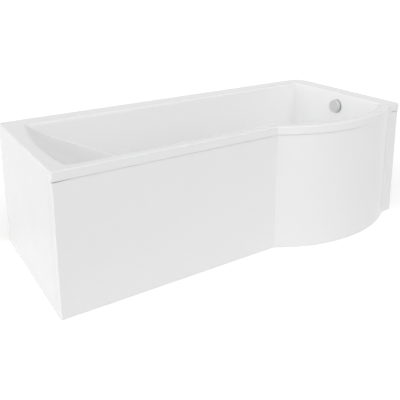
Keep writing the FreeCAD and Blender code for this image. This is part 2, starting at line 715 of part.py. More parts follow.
def clip_screw_x():
    return BLOCK_INSET + BLOCK_DEPTH / 2


def rim_block():
    half = BLOCK_LENGTH / 2
    solid = block(BLOCK_INSET, BLOCK_INSET + BLOCK_DEPTH, -half, half, BLOCK_LOW, HEIGHT - SHELL_WALL)
    hole = disc(CLIP_SCREW_R + SCREW_SLACK, BLOCK_LOW - OVERRUN, BLOCK_LOW + CLIP_SCREW_LENGTH)
    return solid.cut(placed(hole, clip_screw_x(), 0))


def panel_clip():
    seat = PANEL_TOP - PANEL_WALL
    inner = BLOCK_INSET + BLOCK_DEPTH
    side = [
        (BLOCK_INSET, BLOCK_LOW), (inner, BLOCK_LOW),
        (inner, seat - CLIP_THICK), (CLIP_TOE, seat - CLIP_THICK),
        (CLIP_TOE, seat), (inner - CLIP_THICK, seat),
        (inner - CLIP_THICK, BLOCK_LOW - CLIP_THICK), (BLOCK_INSET, BLOCK_LOW - CLIP_THICK),
    ]
    hole = disc(CLIP_SCREW_R + SCREW_SLACK, BLOCK_LOW - CLIP_THICK - SCREW_SLACK, BLOCK_LOW + OVERRUN)
    return plate(side, CLIP_WIDTH).cut(placed(hole, clip_screw_x(), 0))


def clip_screw():
    one = screw(CLIP_SCREW_R, CLIP_SCREW_LENGTH, CLIP_SCREW_HEAD_R, CLIP_SCREW_HEAD)
    return placed(one, clip_screw_x(), 0, BLOCK_LOW - CLIP_THICK)


# Stays and their screws
def stay_screw_y(x):
    overlap_start, overlap_end = FOOT_INSET - RAIL_TAIL, STAY_LEG + STAY_GRIP
    return front_y(x, PANEL_BACK) + (overlap_start + overlap_end) / 2


def toe_screw_y(x):
    return front_y(x, PANEL_BACK) + (STAY_TOE + STAY_LEG) / 2


def end_toe_screw():
    return X_BACKREST + PANEL_BACK + (STAY_TOE + STAY_LEG) / 2, (Y_FRONT + Y_BACK) / 2


def front_stay(x):
    """A bracket that runs from under the rail down to the panel's lower flange."""
    top = BOARD_LOW - RAIL_WALL
    heel = STAY_LEG + STAY_THICK
    far = STAY_LEG + STAY_GRIP
    side = [
        (STAY_TOE, FLANGE_TOP), (heel, FLANGE_TOP), (heel, top - STAY_THICK), (far, top - STAY_THICK),
        (far, top), (STAY_LEG, top), (STAY_LEG, FLANGE_TOP + STAY_THICK), (STAY_TOE, FLANGE_TOP + STAY_THICK),
    ]
    stay = placed(plate(side, STAY_WIDTH), x, front_y(x, PANEL_BACK), 0, math.pi / 2)
    drill = disc(STAY_SCREW_R + SCREW_SLACK, 0, BOARD_LOW)
    return stay.cut(placed(drill, x, stay_screw_y(x))).cut(placed(drill, x, toe_screw_y(x)))


def end_panel_stay():
    """A long strip from the backrest rail's side to the end panel's lower flange."""
    panel = X_BACKREST + PANEL_BACK
    rail_side = RAIL_PLACES["backrest"] - RAIL_WIDTH / 2
    heel = panel + STAY_LEG + STAY_THICK
    side = [
        (panel + STAY_TOE, FLANGE_TOP), (heel, FLANGE_TOP), (heel, RAIL_LOW), (rail_side, RAIL_LOW),
        (rail_side, RAIL_LOW + STAY_TAB), (rail_side - STAY_THICK, RAIL_LOW + STAY_TAB),
        (rail_side - STAY_THICK, RAIL_LOW + STAY_THICK), (panel + STAY_LEG, RAIL_LOW + STAY_THICK),
        (panel + STAY_LEG, FLANGE_TOP + STAY_THICK), (panel + STAY_TOE, FLANGE_TOP + STAY_THICK),
    ]
    stay = placed(plate(side, STAY_WIDTH), 0, end_toe_screw()[1])
    drill = disc(STAY_SCREW_R + SCREW_SLACK, 0, RAIL_LOW)
    return stay.cut(placed(drill, *end_toe_screw())).cut(end_stay_rail_screw(SCREW_SLACK))


def end_stay_rail_screw(slack):
    """The shank that pins the end stay's tab to the backrest rail's side."""
    side = RAIL_PLACES["backrest"] - RAIL_WIDTH / 2
    level = Vector(0, end_toe_screw()[1], RAIL_LOW + STAY_TAB / 2)
    start, end = Vector(side - STAY_THICK, 0, 0), Vector(side + RAIL_WALL, 0, 0)
    return rod(STAY_SCREW_R + slack, level + start, level + end)


def stay_screws():
    top = BOARD_LOW - RAIL_WALL - STAY_THICK
    upward = screw(STAY_SCREW_R, STAY_THICK + RAIL_WALL, STAY_SCREW_HEAD_R, STAY_SCREW_HEAD)
    downward = screw(STAY_SCREW_R, STAY_THICK + PANEL_WALL, STAY_SCREW_HEAD_R, STAY_SCREW_HEAD)
    downward.rotate(Vector(0, 0, 0), Vector(1, 0, 0), 180)
    screws = []
    for x in RAIL_PLACES.values():
        screws.append(placed(upward, x, stay_screw_y(x), top))
        screws.append(placed(downward, x, toe_screw_y(x), FLANGE_TOP + STAY_THICK))
    screws.append(placed(downward, *end_toe_screw(), FLANGE_TOP + STAY_THICK))
    side = RAIL_PLACES["backrest"] - RAIL_WIDTH / 2 - STAY_THICK
    face = Vector(side, end_toe_screw()[1], RAIL_LOW + STAY_TAB / 2)
    head = rod(STAY_SCREW_HEAD_R, face - Vector(STAY_SCREW_HEAD, 0, 0), face)
    screws.append(head.fuse(end_stay_rail_screw(0)))
    return screws


# Wall hooks, with their backs on the wall at zero X
def wall_hook():
    side = [
        (0, FASCIA_LOW - HOOK_PLATE), (0, FASCIA_LOW), (HOOK_THICK - HOOK_REACH, FASCIA_LOW),
        (HOOK_THICK - HOOK_REACH, FASCIA_LOW + HOOK_LIP), (-HOOK_REACH, FASCIA_LOW + HOOK_LIP),
        (-HOOK_REACH, FASCIA_LOW - HOOK_THICK), (-HOOK_THICK, FASCIA_LOW - HOOK_THICK),
        (-HOOK_THICK, FASCIA_LOW - HOOK_PLATE),
    ]
    hook = plate(side, HOOK_WIDTH)
    for y in (-HOOK_HOLE_SPAN / 2, HOOK_HOLE_SPAN / 2):
        middle = Vector(0, y, FASCIA_LOW - HOOK_HOLE_DROP)
        hook = hook.cut(rod(HOOK_HOLE_R, middle - Vector(OVERRUN, 0, 0), middle + Vector(OVERRUN, 0, 0)))
    return hook


# Waste, built round the drain's axis
def bridge(reach, low, bore):
    """Two crossed bars with a bored hub, which leave room for the water."""
    half, high = BRIDGE_WIDTH / 2, low + BRIDGE_HEIGHT
    bars = block(-reach, reach, -half, half, low, high).fuse(block(-half, half, -reach, reach, low, high))
    hub = disc(bore + HUB_WALL, low, high)
    return bars.fuse(hub).cut(disc(bore, low - OVERRUN, high + OVERRUN))


def waste_flange():
    top = FLOOR_HEIGHT + WASTE_FLANGE_THICK
    inner = WASTE_SLEEVE_R - WASTE_SLEEVE_WALL
    low = WASTE_TOP - WASTE_SLEEVE
    flange = ring(WASTE_FLANGE_R, inner, FLOOR_HEIGHT, top)
    flange = flange.fuse(ring(WASTE_SLEEVE_R, inner, low, FLOOR_HEIGHT))
    cross = bridge(WASTE_SLEEVE_R, low, PLUG_STEM_R + FIT).common(disc(WASTE_SLEEVE_R, low, top))
    return flange.fuse(cross).removeSplitter()


def waste_gasket():
    return ring(WASTE_SEAT_R, WASTE_HOLE_R, WASTE_TOP, UNDERSIDE)


def waste_body():
    neck = WASTE_SLEEVE_R + SLIP
    solid = disc(WASTE_SEAT_R, WASTE_TOP - WASTE_SEAT_THICK, WASTE_TOP)
    solid = solid.fuse(disc(neck + WASTE_NECK_WALL, WASTE_ROOF, WASTE_TOP))
    solid = solid.fuse(disc(WASTE_R, WASTE_LOW, WASTE_ROOF))
    axis_in, axis_out = Vector(0, 0, PIPE_Z), Vector(0, 0, INLET_Z)
    pipe_end, outlet_end = Vector(PIPE_REACH, 0, PIPE_Z), Vector(0, INLET_REACH, INLET_Z)
    gland_in, gland_end = Vector(0, GUIDE_SIDE, PIPE_Z), Vector(GLAND_REACH, GUIDE_SIDE, PIPE_Z)
    solid = solid.fuse(rod(SPOUT_R, axis_in, pipe_end)).fuse(rod(INLET_R, axis_out, outlet_end))
    solid = solid.fuse(rod(GLAND_R, gland_in, gland_end))
    past = Vector(OVERRUN, 0, 0)
    solid = solid.cut(disc(neck, WASTE_ROOF - OVERRUN, WASTE_TOP + OVERRUN))
    solid = solid.cut(disc(WASTE_R - WASTE_WALL, WASTE_LOW + WASTE_WALL, WASTE_ROOF - WASTE_WALL))
    solid = solid.cut(rod(SPOUT_R - SPOUT_WALL, axis_in, pipe_end + past))
    solid = solid.cut(rod(INLET_R - INLET_WALL, axis_out, outlet_end + Vector(0, OVERRUN, 0)))
    solid = solid.cut(rod(GUIDE_BORE_R, gland_in, gland_end + past))
    shaft = Vector(LEVER_X, WASTE_R, LEVER_Z)
    return solid.cut(rod(LEVER_SHAFT_R + FIT, Vector(LEVER_X, -WASTE_R, LEVER_Z), shaft)).removeSplitter()


def plug_low():
    return FLOOR_HEIGHT + WASTE_FLANGE_THICK + SLIP + SEAL_THICK


def pop_up_plug():
    cap = disc(PLUG_R, plug_low(), plug_low() + PLUG_THICK)
    crown = [edge for edge in cap.Edges if edge.BoundBox.ZMin > plug_low() + PLUG_THICK - FIT]
    return cap.makeFillet(PLUG_EDGE_R, crown)


def plug_seal():
    return ring(SEAL_R, SEAL_R - SEAL_WIDTH, plug_low() - SEAL_THICK, plug_low())


def plug_stem():
    return disc(PLUG_STEM_R, LEVER_Z + LEVER_SHAFT_R + LEVER_LIFT_GAP, plug_low())


def lifting_lever():
    """A shaft across the waste body with an arm under the plug's stem and a crank for the pull wire."""
    half_chord = math.sqrt((WASTE_R - WASTE_WALL / 2) ** 2 - LEVER_X ** 2)
    shaft = rod(LEVER_SHAFT_R, Vector(LEVER_X, -half_chord, LEVER_Z), Vector(LEVER_X, half_chord, LEVER_Z))
    half = LEVER_ARM_WIDTH / 2
    arm = block(LEVER_X - LEVER_ARM, LEVER_X, -half, half, LEVER_Z - LEVER_SHAFT_R, LEVER_Z + LEVER_SHAFT_R)
    crank = block(LEVER_X - LEVER_SHAFT_R, LEVER_X + LEVER_SHAFT_R, GUIDE_SIDE - LEVER_CRANK_WIDTH,
                  GUIDE_SIDE, LEVER_Z - LEVER_CRANK, LEVER_Z)
    return shaft.fuse(arm).fuse(crank).removeSplitter()


# Trap and outlet, built round the drain's axis
def trap_cup():
    solid = placed(disc(TRAP_R, TRAP_LOW, TRAP_TOP), 0, TRAP_OFFSET)
    inlet, middle_in = Vector(0, INLET_REACH, INLET_Z), Vector(0, TRAP_OFFSET, INLET_Z)
    outlet, middle_out = Vector(0, TRAP_OFFSET + OUTLET_SOCKET, OUTLET_Z), Vector(0, TRAP_OFFSET, OUTLET_Z)
    socket = OUTLET_R + SCREW_SLACK
    past = Vector(0, OVERRUN, 0)
    inside = disc(TRAP_R - TRAP_WALL, TRAP_LOW + TRAP_WALL, TRAP_TOP + OVERRUN)
    solid = solid.fuse(rod(INLET_R, inlet, middle_in))
    solid = solid.fuse(rod(socket + OUTLET_SOCKET_WALL, middle_out, outlet))
    solid = solid.cut(placed(inside, 0, TRAP_OFFSET))
    solid = solid.cut(rod(INLET_R - INLET_WALL, inlet - past, middle_in))
    return solid.cut(rod(socket, middle_out, outlet + past)).removeSplitter()


def trap_cap():
    lip = disc(TRAP_R - TRAP_WALL - SLIP, TRAP_TOP - TRAP_CAP, TRAP_TOP)
    return placed(lip.fuse(disc(TRAP_R + TRAP_CAP_LIP, TRAP_TOP, TRAP_TOP + TRAP_CAP)), 0, TRAP_OFFSET)


def trap_union_nut():
    half = Vector(0, UNION_LENGTH / 2, 0)
    joint = Vector(0, INLET_REACH, INLET_Z)
    return pipe(INLET_R + SLIP + UNION_WALL, INLET_R + SLIP, joint - half, joint + half)


def outlet_pipe():
    start = Vector(0, TRAP_OFFSET + OUTLET_SOCKET - OUTLET_IN_SOCKET, OUTLET_Z)
    end = Vector(0, Y_BACK - OUTLET_END_GAP - DRAIN_Y, OUTLET_Z)
    stop = end - Vector(0, OUTLET_SPIGOT, 0)
    bead = rod(OUTLET_R + OUTLET_BEAD, stop - Vector(0, OUTLET_BEAD, 0), stop)
    outer = rod(OUTLET_R, start, end).fuse(bead)
    past = Vector(0, OVERRUN, 0)
    return outer.cut(rod(OUTLET_R - OUTLET_WALL, start - past, end + past))


def outlet_nut():
    start = Vector(0, TRAP_OFFSET + OUTLET_SOCKET, OUTLET_Z)
    end = start + Vector(0, OUTLET_NUT_LENGTH, 0)
    return pipe(OUTLET_R + SLIP + OUTLET_NUT_WALL, OUTLET_R + SLIP, start, end)


# Overflow, built on the wall's own axes
def overflow_rosette():
    inner = ROSETTE_SLEEVE_R - ROSETTE_SLEEVE_WALL
    flange = disc(ROSETTE_R, 0, ROSETTE_THICK)
    crown = [edge for edge in flange.Edges if edge.BoundBox.ZMin > ROSETTE_THICK - FIT]
    flange = flange.makeFillet(ROSETTE_EDGE_R, crown).cut(disc(inner, -OVERRUN, OVERRUN))
    flange = flange.fuse(ring(ROSETTE_SLEEVE_R, inner, -ROSETTE_SLEEVE, 0))
    cross = bridge(ROSETTE_SLEEVE_R, -ROSETTE_SLEEVE, KNOB_SHAFT_R + FIT)
    cross = cross.common(disc(ROSETTE_SLEEVE_R, -ROSETTE_SLEEVE, 0))
    return flange.fuse(cross).removeSplitter()


def overflow_gasket():
    return ring(OVERFLOW_R, OVERFLOW_HOLE_R, SEAT_BACK, -SHELL_WALL)


def overflow_body():
    solid = disc(OVERFLOW_R, CHAMBER_BACK, SEAT_BACK)
    spout_top, spout_end = Vector(0, 0, SPOUT_DEPTH), Vector(-SPOUT_REACH, 0, SPOUT_DEPTH)
    gland_top, gland_end = Vector(0, GUIDE_SIDE, GUIDE_DEPTH), Vector(-GLAND_REACH, GUIDE_SIDE, GUIDE_DEPTH)
    past = Vector(-OVERRUN, 0, 0)
    solid = solid.fuse(rod(SPOUT_R, spout_top, spout_end)).fuse(rod(GLAND_R, gland_top, gland_end))
    solid = solid.cut(disc(OVERFLOW_R - OVERFLOW_WALL, CHAMBER_BACK + OVERFLOW_WALL, CHAMBER_FRONT))
    solid = solid.cut(disc(ROSETTE_SLEEVE_R + SLIP, CHAMBER_FRONT - OVERFLOW_WALL, OVERRUN))
    solid = solid.cut(rod(SPOUT_R - SPOUT_WALL, spout_top, spout_end + past))
    return solid.cut(rod(GUIDE_BORE_R, gland_top, gland_end + past)).removeSplitter()


def overflow_knob():
    high = KNOB_LOW + KNOB_DEPTH
    cap = disc(KNOB_R, KNOB_LOW, high)
    crown = [edge for edge in cap.Edges if edge.BoundBox.ZMin > high - FIT]
    cap = cap.makeFillet(KNOB_EDGE_R, crown)
    cap = cap.cut(ring(KNOB_R - KNOB_WALL, KNOB_HUB_R, KNOB_LOW - OVERRUN, high - KNOB_FACE))
    cap = cap.cut(disc(KNOB_SHAFT_R + FIT, KNOB_LOW - OVERRUN, KNOB_SHAFT_END))
    return cap.cut(grub(SCREW_SLACK, KNOB_R - KNOB_WALL))


def grub(slack, reach):
    level = (KNOB_LOW + KNOB_SHAFT_END) / 2
    return rod(GRUB_R + slack, Vector(KNOB_SHAFT_R, 0, level), Vector(reach, 0, level))


def knob_grub_screw():
    shaft_hole = disc(KNOB_SHAFT_R + FIT, KNOB_LOW, KNOB_SHAFT_END)
    return grub(0, KNOB_HUB_R).cut(shaft_hole)


def knob_shaft():
    back = CHAMBER_BACK + OVERFLOW_WALL + SHAFT_BACK_GAP
    shaft = disc(KNOB_SHAFT_R, back, KNOB_SHAFT_END)
    half = CRANK_WIDTH / 2
    crank = block(-half, half, 0, CRANK_REACH, CRANK_LOW, CRANK_LOW + CRANK_THICK)
    return shaft.fuse(crank).removeSplitter()


# Pipe and guide tube from the overflow to the waste
def bent_path(start, corner, end, bend):
    """Two straight runs joined by a tangent arc."""
    back, onward = (start - corner).normalize(), (end - corner).normalize()
    half = back.getAngle(onward) / 2
    first, last = corner + back * (bend / math.tan(half)), corner + onward * (bend / math.tan(half))
    inward = (back + onward).normalize()
    middle = corner + inward * (bend / math.sin(half) - bend)
    return Part.Wire([
        Part.LineSegment(start, first).toShape(),
        Part.Arc(first, middle, last).toShape(),
        Part.LineSegment(last, end).toShape(),
    ])


def bent_rod(radius, path):
    start = path.OrderedVertexes[0].Point
    along = path.OrderedEdges[0].tangentAt(path.OrderedEdges[0].FirstParameter)
    section = Part.Wire(Part.makeCircle(radius, start, along))
    return path.makePipeShell([section], True, False)


def path_to_waste(side, depth, reach_up, reach_in):
    """The route down the shower end's wall and under the floor to the waste body."""
    start = OVERFLOW_PLACE.multVec(Vector(-reach_up, side, depth))
    down = OVERFLOW_PLACE.Rotation.multVec(Vector(-1, 0, 0))
    corner = start + down * ((PIPE_Z - start.z) / down.z)
    end = Vector(DRAIN_X + reach_in, DRAIN_Y + side, PIPE_Z)
    return bent_path(start, corner, end, PIPE_BEND)


def pipe_path():
    return path_to_waste(0, SPOUT_DEPTH, SPOUT_REACH, PIPE_REACH)


def guide_path():
    return path_to_waste(GUIDE_SIDE, GUIDE_DEPTH, GLAND_REACH, GLAND_REACH)


def overflow_pipe():
    return bent_rod(PIPE_R, pipe_path()).cut(bent_rod(PIPE_R - PIPE_WALL, pipe_path()))


def pipe_nut():
    """A stepped nut along X that holds the pipe, on the low side, against a spout."""
    grip = Vector(PIPE_NUT_GRIP, 0, 0)
    outer = SPOUT_R + SLIP + PIPE_NUT_WALL
    start = Vector(0, 0, 0)
    return pipe(outer, SPOUT_R + SLIP, start, grip).fuse(pipe(outer, PIPE_R + SLIP, start - grip, start))


def pipe_nuts():
    upper = at_overflow(pipe_nut().translated(Vector(-SPOUT_REACH, 0, SPOUT_DEPTH)))
    lower = placed(pipe_nut(), PIPE_REACH, 0, PIPE_Z, 0)
    lower = lower.mirror(Vector(PIPE_REACH, 0, PIPE_Z), Vector(1, 0, 0))
    return [upper, at_drain(lower)]


def guide_tube():
    return bent_rod(GUIDE_R, guide_path()).cut(bent_rod(GUIDE_BORE_R, guide_path()))


def pull_wire():
    return bent_rod(WIRE_R, guide_path())


def wall_hooks():
    quarter = math.pi / 2
    places = [X_BACKREST + LENGTH * share for share in BACK_HOOK_SHARES]
    left, right = [placed(wall_hook(), x, Y_BACK, 0, quarter) for x in places]
    end = placed(wall_hook(), X_SHOWER, (Y_FRONT + Y_BACK) / 2)
    return {"wall_hook_back_left": left, "wall_hook_back_right": right, "wall_hook_end": end}


def feet():
    nodes = {}
    for name in RAIL_PLACES:
        for side, place in foot_places(name).items():
            nodes["foot_stem_" + name + "_" + side] = placed(foot_stem(), *place)
            nodes["foot_pad_" + name + "_" + side] = placed(foot_pad(), *place)
    return nodes


def all_nodes():
    nodes = {
        "bath_shell": bath_shell(),
        "base_board": base_board(),
        "backrest_saddle": backrest_saddle(),
        "rail_backrest": rail("backrest"),
        "rail_middle": rail("middle"),
        "rail_shower": rail("shower"),
        "rail_screws": Part.makeCompound(rail_screws()),
        "rail_nuts": Part.makeCompound(rail_nuts()),
        "front_panel": front_panel(),
        "end_panel": end_panel(),
        "panel_seam_strip": panel_seam_strip(),
        "rim_blocks": Part.makeCompound(on_outline(rim_block())),
        "panel_clips": Part.makeCompound(on_outline(panel_clip())),
        "clip_screws": Part.makeCompound(on_outline(clip_screw())),
        "front_panel_stays": Part.makeCompound([front_stay(x) for x in RAIL_PLACES.values()]),
        "end_panel_stay": end_panel_stay(),
        "stay_screws": Part.makeCompound(stay_screws()),
        "waste_flange": at_drain(waste_flange()),
        "waste_gasket": at_drain(waste_gasket()),
        "waste_body": at_drain(waste_body()),
        "pop_up_plug": at_drain(pop_up_plug()),
        "plug_seal": at_drain(plug_seal()),
        "plug_stem": at_drain(plug_stem()),
        "lifting_lever": at_drain(lifting_lever()),
        "trap_cup": at_drain(trap_cup()),
        "trap_cap": at_drain(trap_cap()),
        "trap_union_nut": at_drain(trap_union_nut()),
        "outlet_pipe": at_drain(outlet_pipe()),
        "outlet_nut": at_drain(outlet_nut()),
        "overflow_rosette": at_overflow(overflow_rosette()),
        "overflow_gasket": at_overflow(overflow_gasket()),
        "overflow_body": at_overflow(overflow_body()),
        "overflow_knob": at_overflow(overflow_knob()),
        "knob_shaft": at_overflow(knob_shaft()),
        "knob_grub_screw": at_overflow(knob_grub_screw()),
        "overflow_pipe": overflow_pipe(),
        "pipe_nuts": Part.makeCompound(pipe_nuts()),
        "guide_tube": guide_tube(),
        "pull_wire": pull_wire(),
    }
    nodes.update(wall_hooks())
    nodes.update(feet())
    return nodes


os.makedirs("parts", exist_ok=True)
for node_name, node_shape in all_nodes().items():
    node_shape.exportStep("parts/" + node_name + ".step")
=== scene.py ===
import bmesh
import bpy
import math
import numpy as np
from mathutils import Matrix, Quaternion, Vector


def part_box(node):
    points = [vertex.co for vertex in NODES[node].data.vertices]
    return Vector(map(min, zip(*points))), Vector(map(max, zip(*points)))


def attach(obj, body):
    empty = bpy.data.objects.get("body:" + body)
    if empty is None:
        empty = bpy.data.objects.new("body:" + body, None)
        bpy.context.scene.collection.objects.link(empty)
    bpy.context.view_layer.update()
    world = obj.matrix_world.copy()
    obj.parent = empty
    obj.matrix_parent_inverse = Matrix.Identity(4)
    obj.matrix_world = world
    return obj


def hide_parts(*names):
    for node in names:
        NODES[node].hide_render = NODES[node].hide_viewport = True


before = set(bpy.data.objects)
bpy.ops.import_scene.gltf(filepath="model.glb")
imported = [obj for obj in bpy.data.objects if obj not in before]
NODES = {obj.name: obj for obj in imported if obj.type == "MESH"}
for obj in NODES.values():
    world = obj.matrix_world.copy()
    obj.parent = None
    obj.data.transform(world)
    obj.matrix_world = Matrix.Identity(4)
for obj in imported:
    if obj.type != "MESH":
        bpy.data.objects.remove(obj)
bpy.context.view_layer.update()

# An asymmetric shower bath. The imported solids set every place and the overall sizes. This script gives
# them their finishes, remakes the pieces that need threads, recesses or broken edges, and adds grip ribs.
MM = 0.001
UP = (0.0, 0.0, 1.0)
WHITE_LIGHT = (1.0, 1.0, 1.0, 1.0)

# The colour sockets of a mix node go by number, because their names repeat
MIX_FIRST, MIX_SECOND, MIX_RESULT = 6, 7, 2


# Trees of nodes
def add(tree, kind, inputs=None, **settings):
    """One node, with its settings, and its sockets filled with values or links."""
    node = tree.nodes.new(kind)
    for name, value in settings.items():
        setattr(node, name, value)
    for socket, value in (inputs or {}).items():
        if isinstance(value, bpy.types.NodeSocket):
            tree.links.new(value, node.inputs[socket])
        else:
            node.inputs[socket].default_value = value
    return node


def finish_tree(name, constants):
    """A material whose surface has these constant values, and the place on the piece."""
    material = bpy.data.materials.new(name)
    material.use_nodes = True
    tree = material.node_tree
    surface = tree.nodes["Principled BSDF"]
    for socket, value in constants.items():
        surface.inputs[socket].default_value = value
    place = add(tree, "ShaderNodeTexCoord").outputs["Object"]
    return material, tree, surface, place


def noise(tree, place, scale, detail=2.0, distortion=0.0):
    sockets = {"Vector": place, "Scale": scale, "Detail": detail, "Distortion": distortion}
    return add(tree, "ShaderNodeTexNoise", sockets).outputs["Fac"]


def stretched(tree, place, scale, turn=(0.0, 0.0, 0.0)):
    """The same place, turned and then stretched, for patterns that run one way."""
    turned = add(tree, "ShaderNodeMapping", {"Vector": place, "Rotation": turn}).outputs["Vector"]
    return add(tree, "ShaderNodeMapping", {"Vector": turned, "Scale": scale}).outputs["Vector"]


def between(tree, share, first, last, start=0.0, end=1.0):
    """A value that goes from first to last while the share goes from start to end."""
    sockets = {"Value": share, "From Min": start, "From Max": end, "To Min": first, "To Max": last}
    return add(tree, "ShaderNodeMapRange", sockets).outputs["Result"]


def blend(tree, share, first, second):
    """A colour between two, by share."""
    node = add(tree, "ShaderNodeMix", {"Factor": share}, data_type="RGBA")
    for socket, colour in ((MIX_FIRST, first), (MIX_SECOND, second)):
        if isinstance(colour, bpy.types.NodeSocket):
            tree.links.new(colour, node.inputs[socket])
        else:
            node.inputs[socket].default_value = (*colour, 1.0)
    return node.outputs[MIX_RESULT]


def reckon(tree, operation, *values):
    return add(tree, "ShaderNodeMath", dict(enumerate(values)), operation=operation).outputs[0]


def with_some(tree, main, extra, weight):
    """The main value plus the extra one times its weight."""
    return reckon(tree, "MULTIPLY_ADD", extra, weight, main)


def surface_links(tree, surface, colour, roughness, height, strength, depth):
    """Colour and roughness linked to the surface, and the height as relief of this strength and depth."""
    relief = add(tree, "ShaderNodeBump", {"Height": height, "Strength": strength, "Distance": depth})
    tree.links.new(colour, surface.inputs["Base Color"])
    tree.links.new(roughness, surface.inputs["Roughness"])
    tree.links.new(relief.outputs["Normal"], surface.inputs["Normal"])


# Finishes
def gloss_acrylic():
    """Vacuum-formed sheet: clean white, a slow drift in tone, faint waves and orange peel."""
    material, tree, surface, place = finish_tree("gloss_acrylic", {"IOR": 1.49})
    drift = noise(tree, place, scale=1.7)
    colour = blend(tree, drift, (0.925, 0.926, 0.928), (0.945, 0.945, 0.942))
    smear = noise(tree, place, scale=9.0, detail=4.0)
    roughness = between(tree, smear, first=0.16, last=0.22, start=0.3, end=0.7)
    peel = noise(tree, place, scale=260.0, detail=1.0)
    wave = noise(tree, place, scale=5.0, detail=1.0)
    height = with_some(tree, peel, wave, weight=0.8)
    surface_links(tree, surface, colour, roughness, height, strength=0.05, depth=0.2 * MM)
    return material


def fibre_backing():
    """Chopped glass strands rolled out in resin, on the side of the sheet that nobody sees."""
    material, tree, surface, place = finish_tree("fibre_backing", {"IOR": 1.52})
    strand_stretch = (22.0, 330.0, 330.0)
    strand_turns = ((0.0, 0.3, 0.1), (0.4, 0.2, 1.15), (0.9, 1.2, 2.2), (1.3, 0.5, 0.7))
    strands = None
    for turn in strand_turns:
        run = stretched(tree, place, strand_stretch, turn)
        one = noise(tree, run, scale=1.0, detail=1.0, distortion=0.4)
        strands = one if strands is None else reckon(tree, "MAXIMUM", strands, one)
    blotch = noise(tree, place, scale=11.0, detail=3.0)
    resin = blend(tree, blotch, (0.60, 0.57, 0.47), (0.71, 0.69, 0.61))
    share = between(tree, strands, first=0.0, last=1.0, start=0.58, end=0.76)
    colour = blend(tree, share, resin, (0.80, 0.79, 0.74))
    roughness = between(tree, share, first=0.34, last=0.62)
    height = with_some(tree, strands, blotch, weight=0.8)
    surface_links(tree, surface, colour, roughness, height, strength=0.6, depth=1.2 * MM)
    return material


def chrome_plate():
    """Bright plating with the haze that wiping leaves."""
    material, tree, surface, place = finish_tree("chrome_plate", {"Metallic": 1.0})
    haze = noise(tree, place, scale=70.0, detail=4.0)
    colour = blend(tree, haze, (0.70, 0.705, 0.715), (0.80, 0.803, 0.81))
    roughness = between(tree, haze, first=0.05, last=0.15, start=0.3, end=0.7)
    polish = noise(tree, place, scale=900.0)
    surface_links(tree, surface, colour, roughness, polish, strength=0.04, depth=0.05 * MM)
    return material


def zinc_steel():
    """Galvanised strip: angular spangles, each with its own tone and dullness."""
    material, tree, surface, place = finish_tree("zinc_steel", {"Metallic": 1.0})
    wander = noise(tree, place, scale=60.0)
    spangle = add(tree, "ShaderNodeTexVoronoi", {"Vector": place, "Scale": 130.0})
    grey = add(tree, "ShaderNodeSeparateColor", {"Color": spangle.outputs["Color"]}).outputs["Red"]
    tone = with_some(tree, grey, wander, weight=0.5)
    share = between(tree, tone, first=0.0, last=1.0, start=0.1, end=1.4)
    colour = blend(tree, share, (0.40, 0.41, 0.42), (0.62, 0.63, 0.65))
    roughness = between(tree, tone, first=0.30, last=0.52, start=0.1, end=1.4)
    surface_links(tree, surface, colour, roughness, tone, strength=0.12, depth=0.1 * MM)
    return material


def pressed_chips():
    """Chipboard: flat chips of several woods, with fine dust between them."""
    material, tree, surface, place = finish_tree("pressed_chips", {"IOR": 1.45})
    chip_stretch = (1.0, 1.6, 1.0)
    shake = add(tree, "ShaderNodeTexNoise", {"Vector": place, "Scale": 90.0}).outputs["Color"]
    small = add(tree, "ShaderNodeVectorMath", {0: shake, "Scale": 0.006}, operation="SCALE").outputs[0]
    warped = add(tree, "ShaderNodeVectorMath", {
        0: place, 1: chip_stretch, 2: small,
    }, operation="MULTIPLY_ADD").outputs[0]
    chips = add(tree, "ShaderNodeTexVoronoi", {"Vector": warped, "Scale": 170.0})
    wood = add(tree, "ShaderNodeSeparateColor", {"Color": chips.outputs["Color"]}).outputs
    pale = blend(tree, wood["Red"], (0.36, 0.23, 0.12), (0.62, 0.45, 0.27))
    dust = noise(tree, place, scale=700.0, detail=3.0)
    dusty = between(tree, dust, first=0.0, last=0.35, start=0.45, end=0.8)
    colour = blend(tree, dusty, pale, (0.25, 0.15, 0.08))
    roughness = between(tree, dust, first=0.62, last=0.9)
    height = reckon(tree, "ADD", wood["Green"], dust)
    surface_links(tree, surface, colour, roughness, height, strength=0.5, depth=0.4 * MM)
    return material


def sawn_timber(name, turn):
    """Softwood off the saw: growth lines along the piece, fibres torn across it."""
    material, tree, surface, place = finish_tree(name, {"IOR": 1.45})
    line_stretch, fibre_stretch = (70.0, 4.0, 70.0), (900.0, 40.0, 900.0)
    lines = add(tree, "ShaderNodeTexWave", {
        "Vector": stretched(tree, place, line_stretch, turn), "Scale": 1.0, "Distortion": 6.0,
        "Detail": 3.0, "Detail Scale": 0.6,
    }).outputs["Fac"]
    fibre = noise(tree, stretched(tree, place, fibre_stretch, turn), scale=1.0)
    pale = blend(tree, lines, (0.58, 0.40, 0.22), (0.72, 0.55, 0.34))
    torn = between(tree, fibre, first=0.0, last=0.4, start=0.4, end=0.8)
    colour = blend(tree, torn, pale, (0.42, 0.27, 0.14))
    roughness = between(tree, fibre, first=0.6, last=0.88)
    height = with_some(tree, fibre, lines, weight=0.5)
    surface_links(tree, surface, colour, roughness, height, strength=0.5, depth=0.4 * MM)
    return material


def black_rubber():
    """Moulded rubber with a grey bloom."""
    material, tree, surface, place = finish_tree("black_rubber", {"IOR": 1.5})
    bloom = noise(tree, place, scale=45.0, detail=4.0)
    colour = blend(tree, bloom, (0.016, 0.016, 0.017), (0.045, 0.044, 0.043))
    roughness = between(tree, bloom, first=0.55, last=0.85)
    grain = noise(tree, place, scale=1400.0)
    surface_links(tree, surface, colour, roughness, grain, strength=0.3, depth=0.1 * MM)
    return material


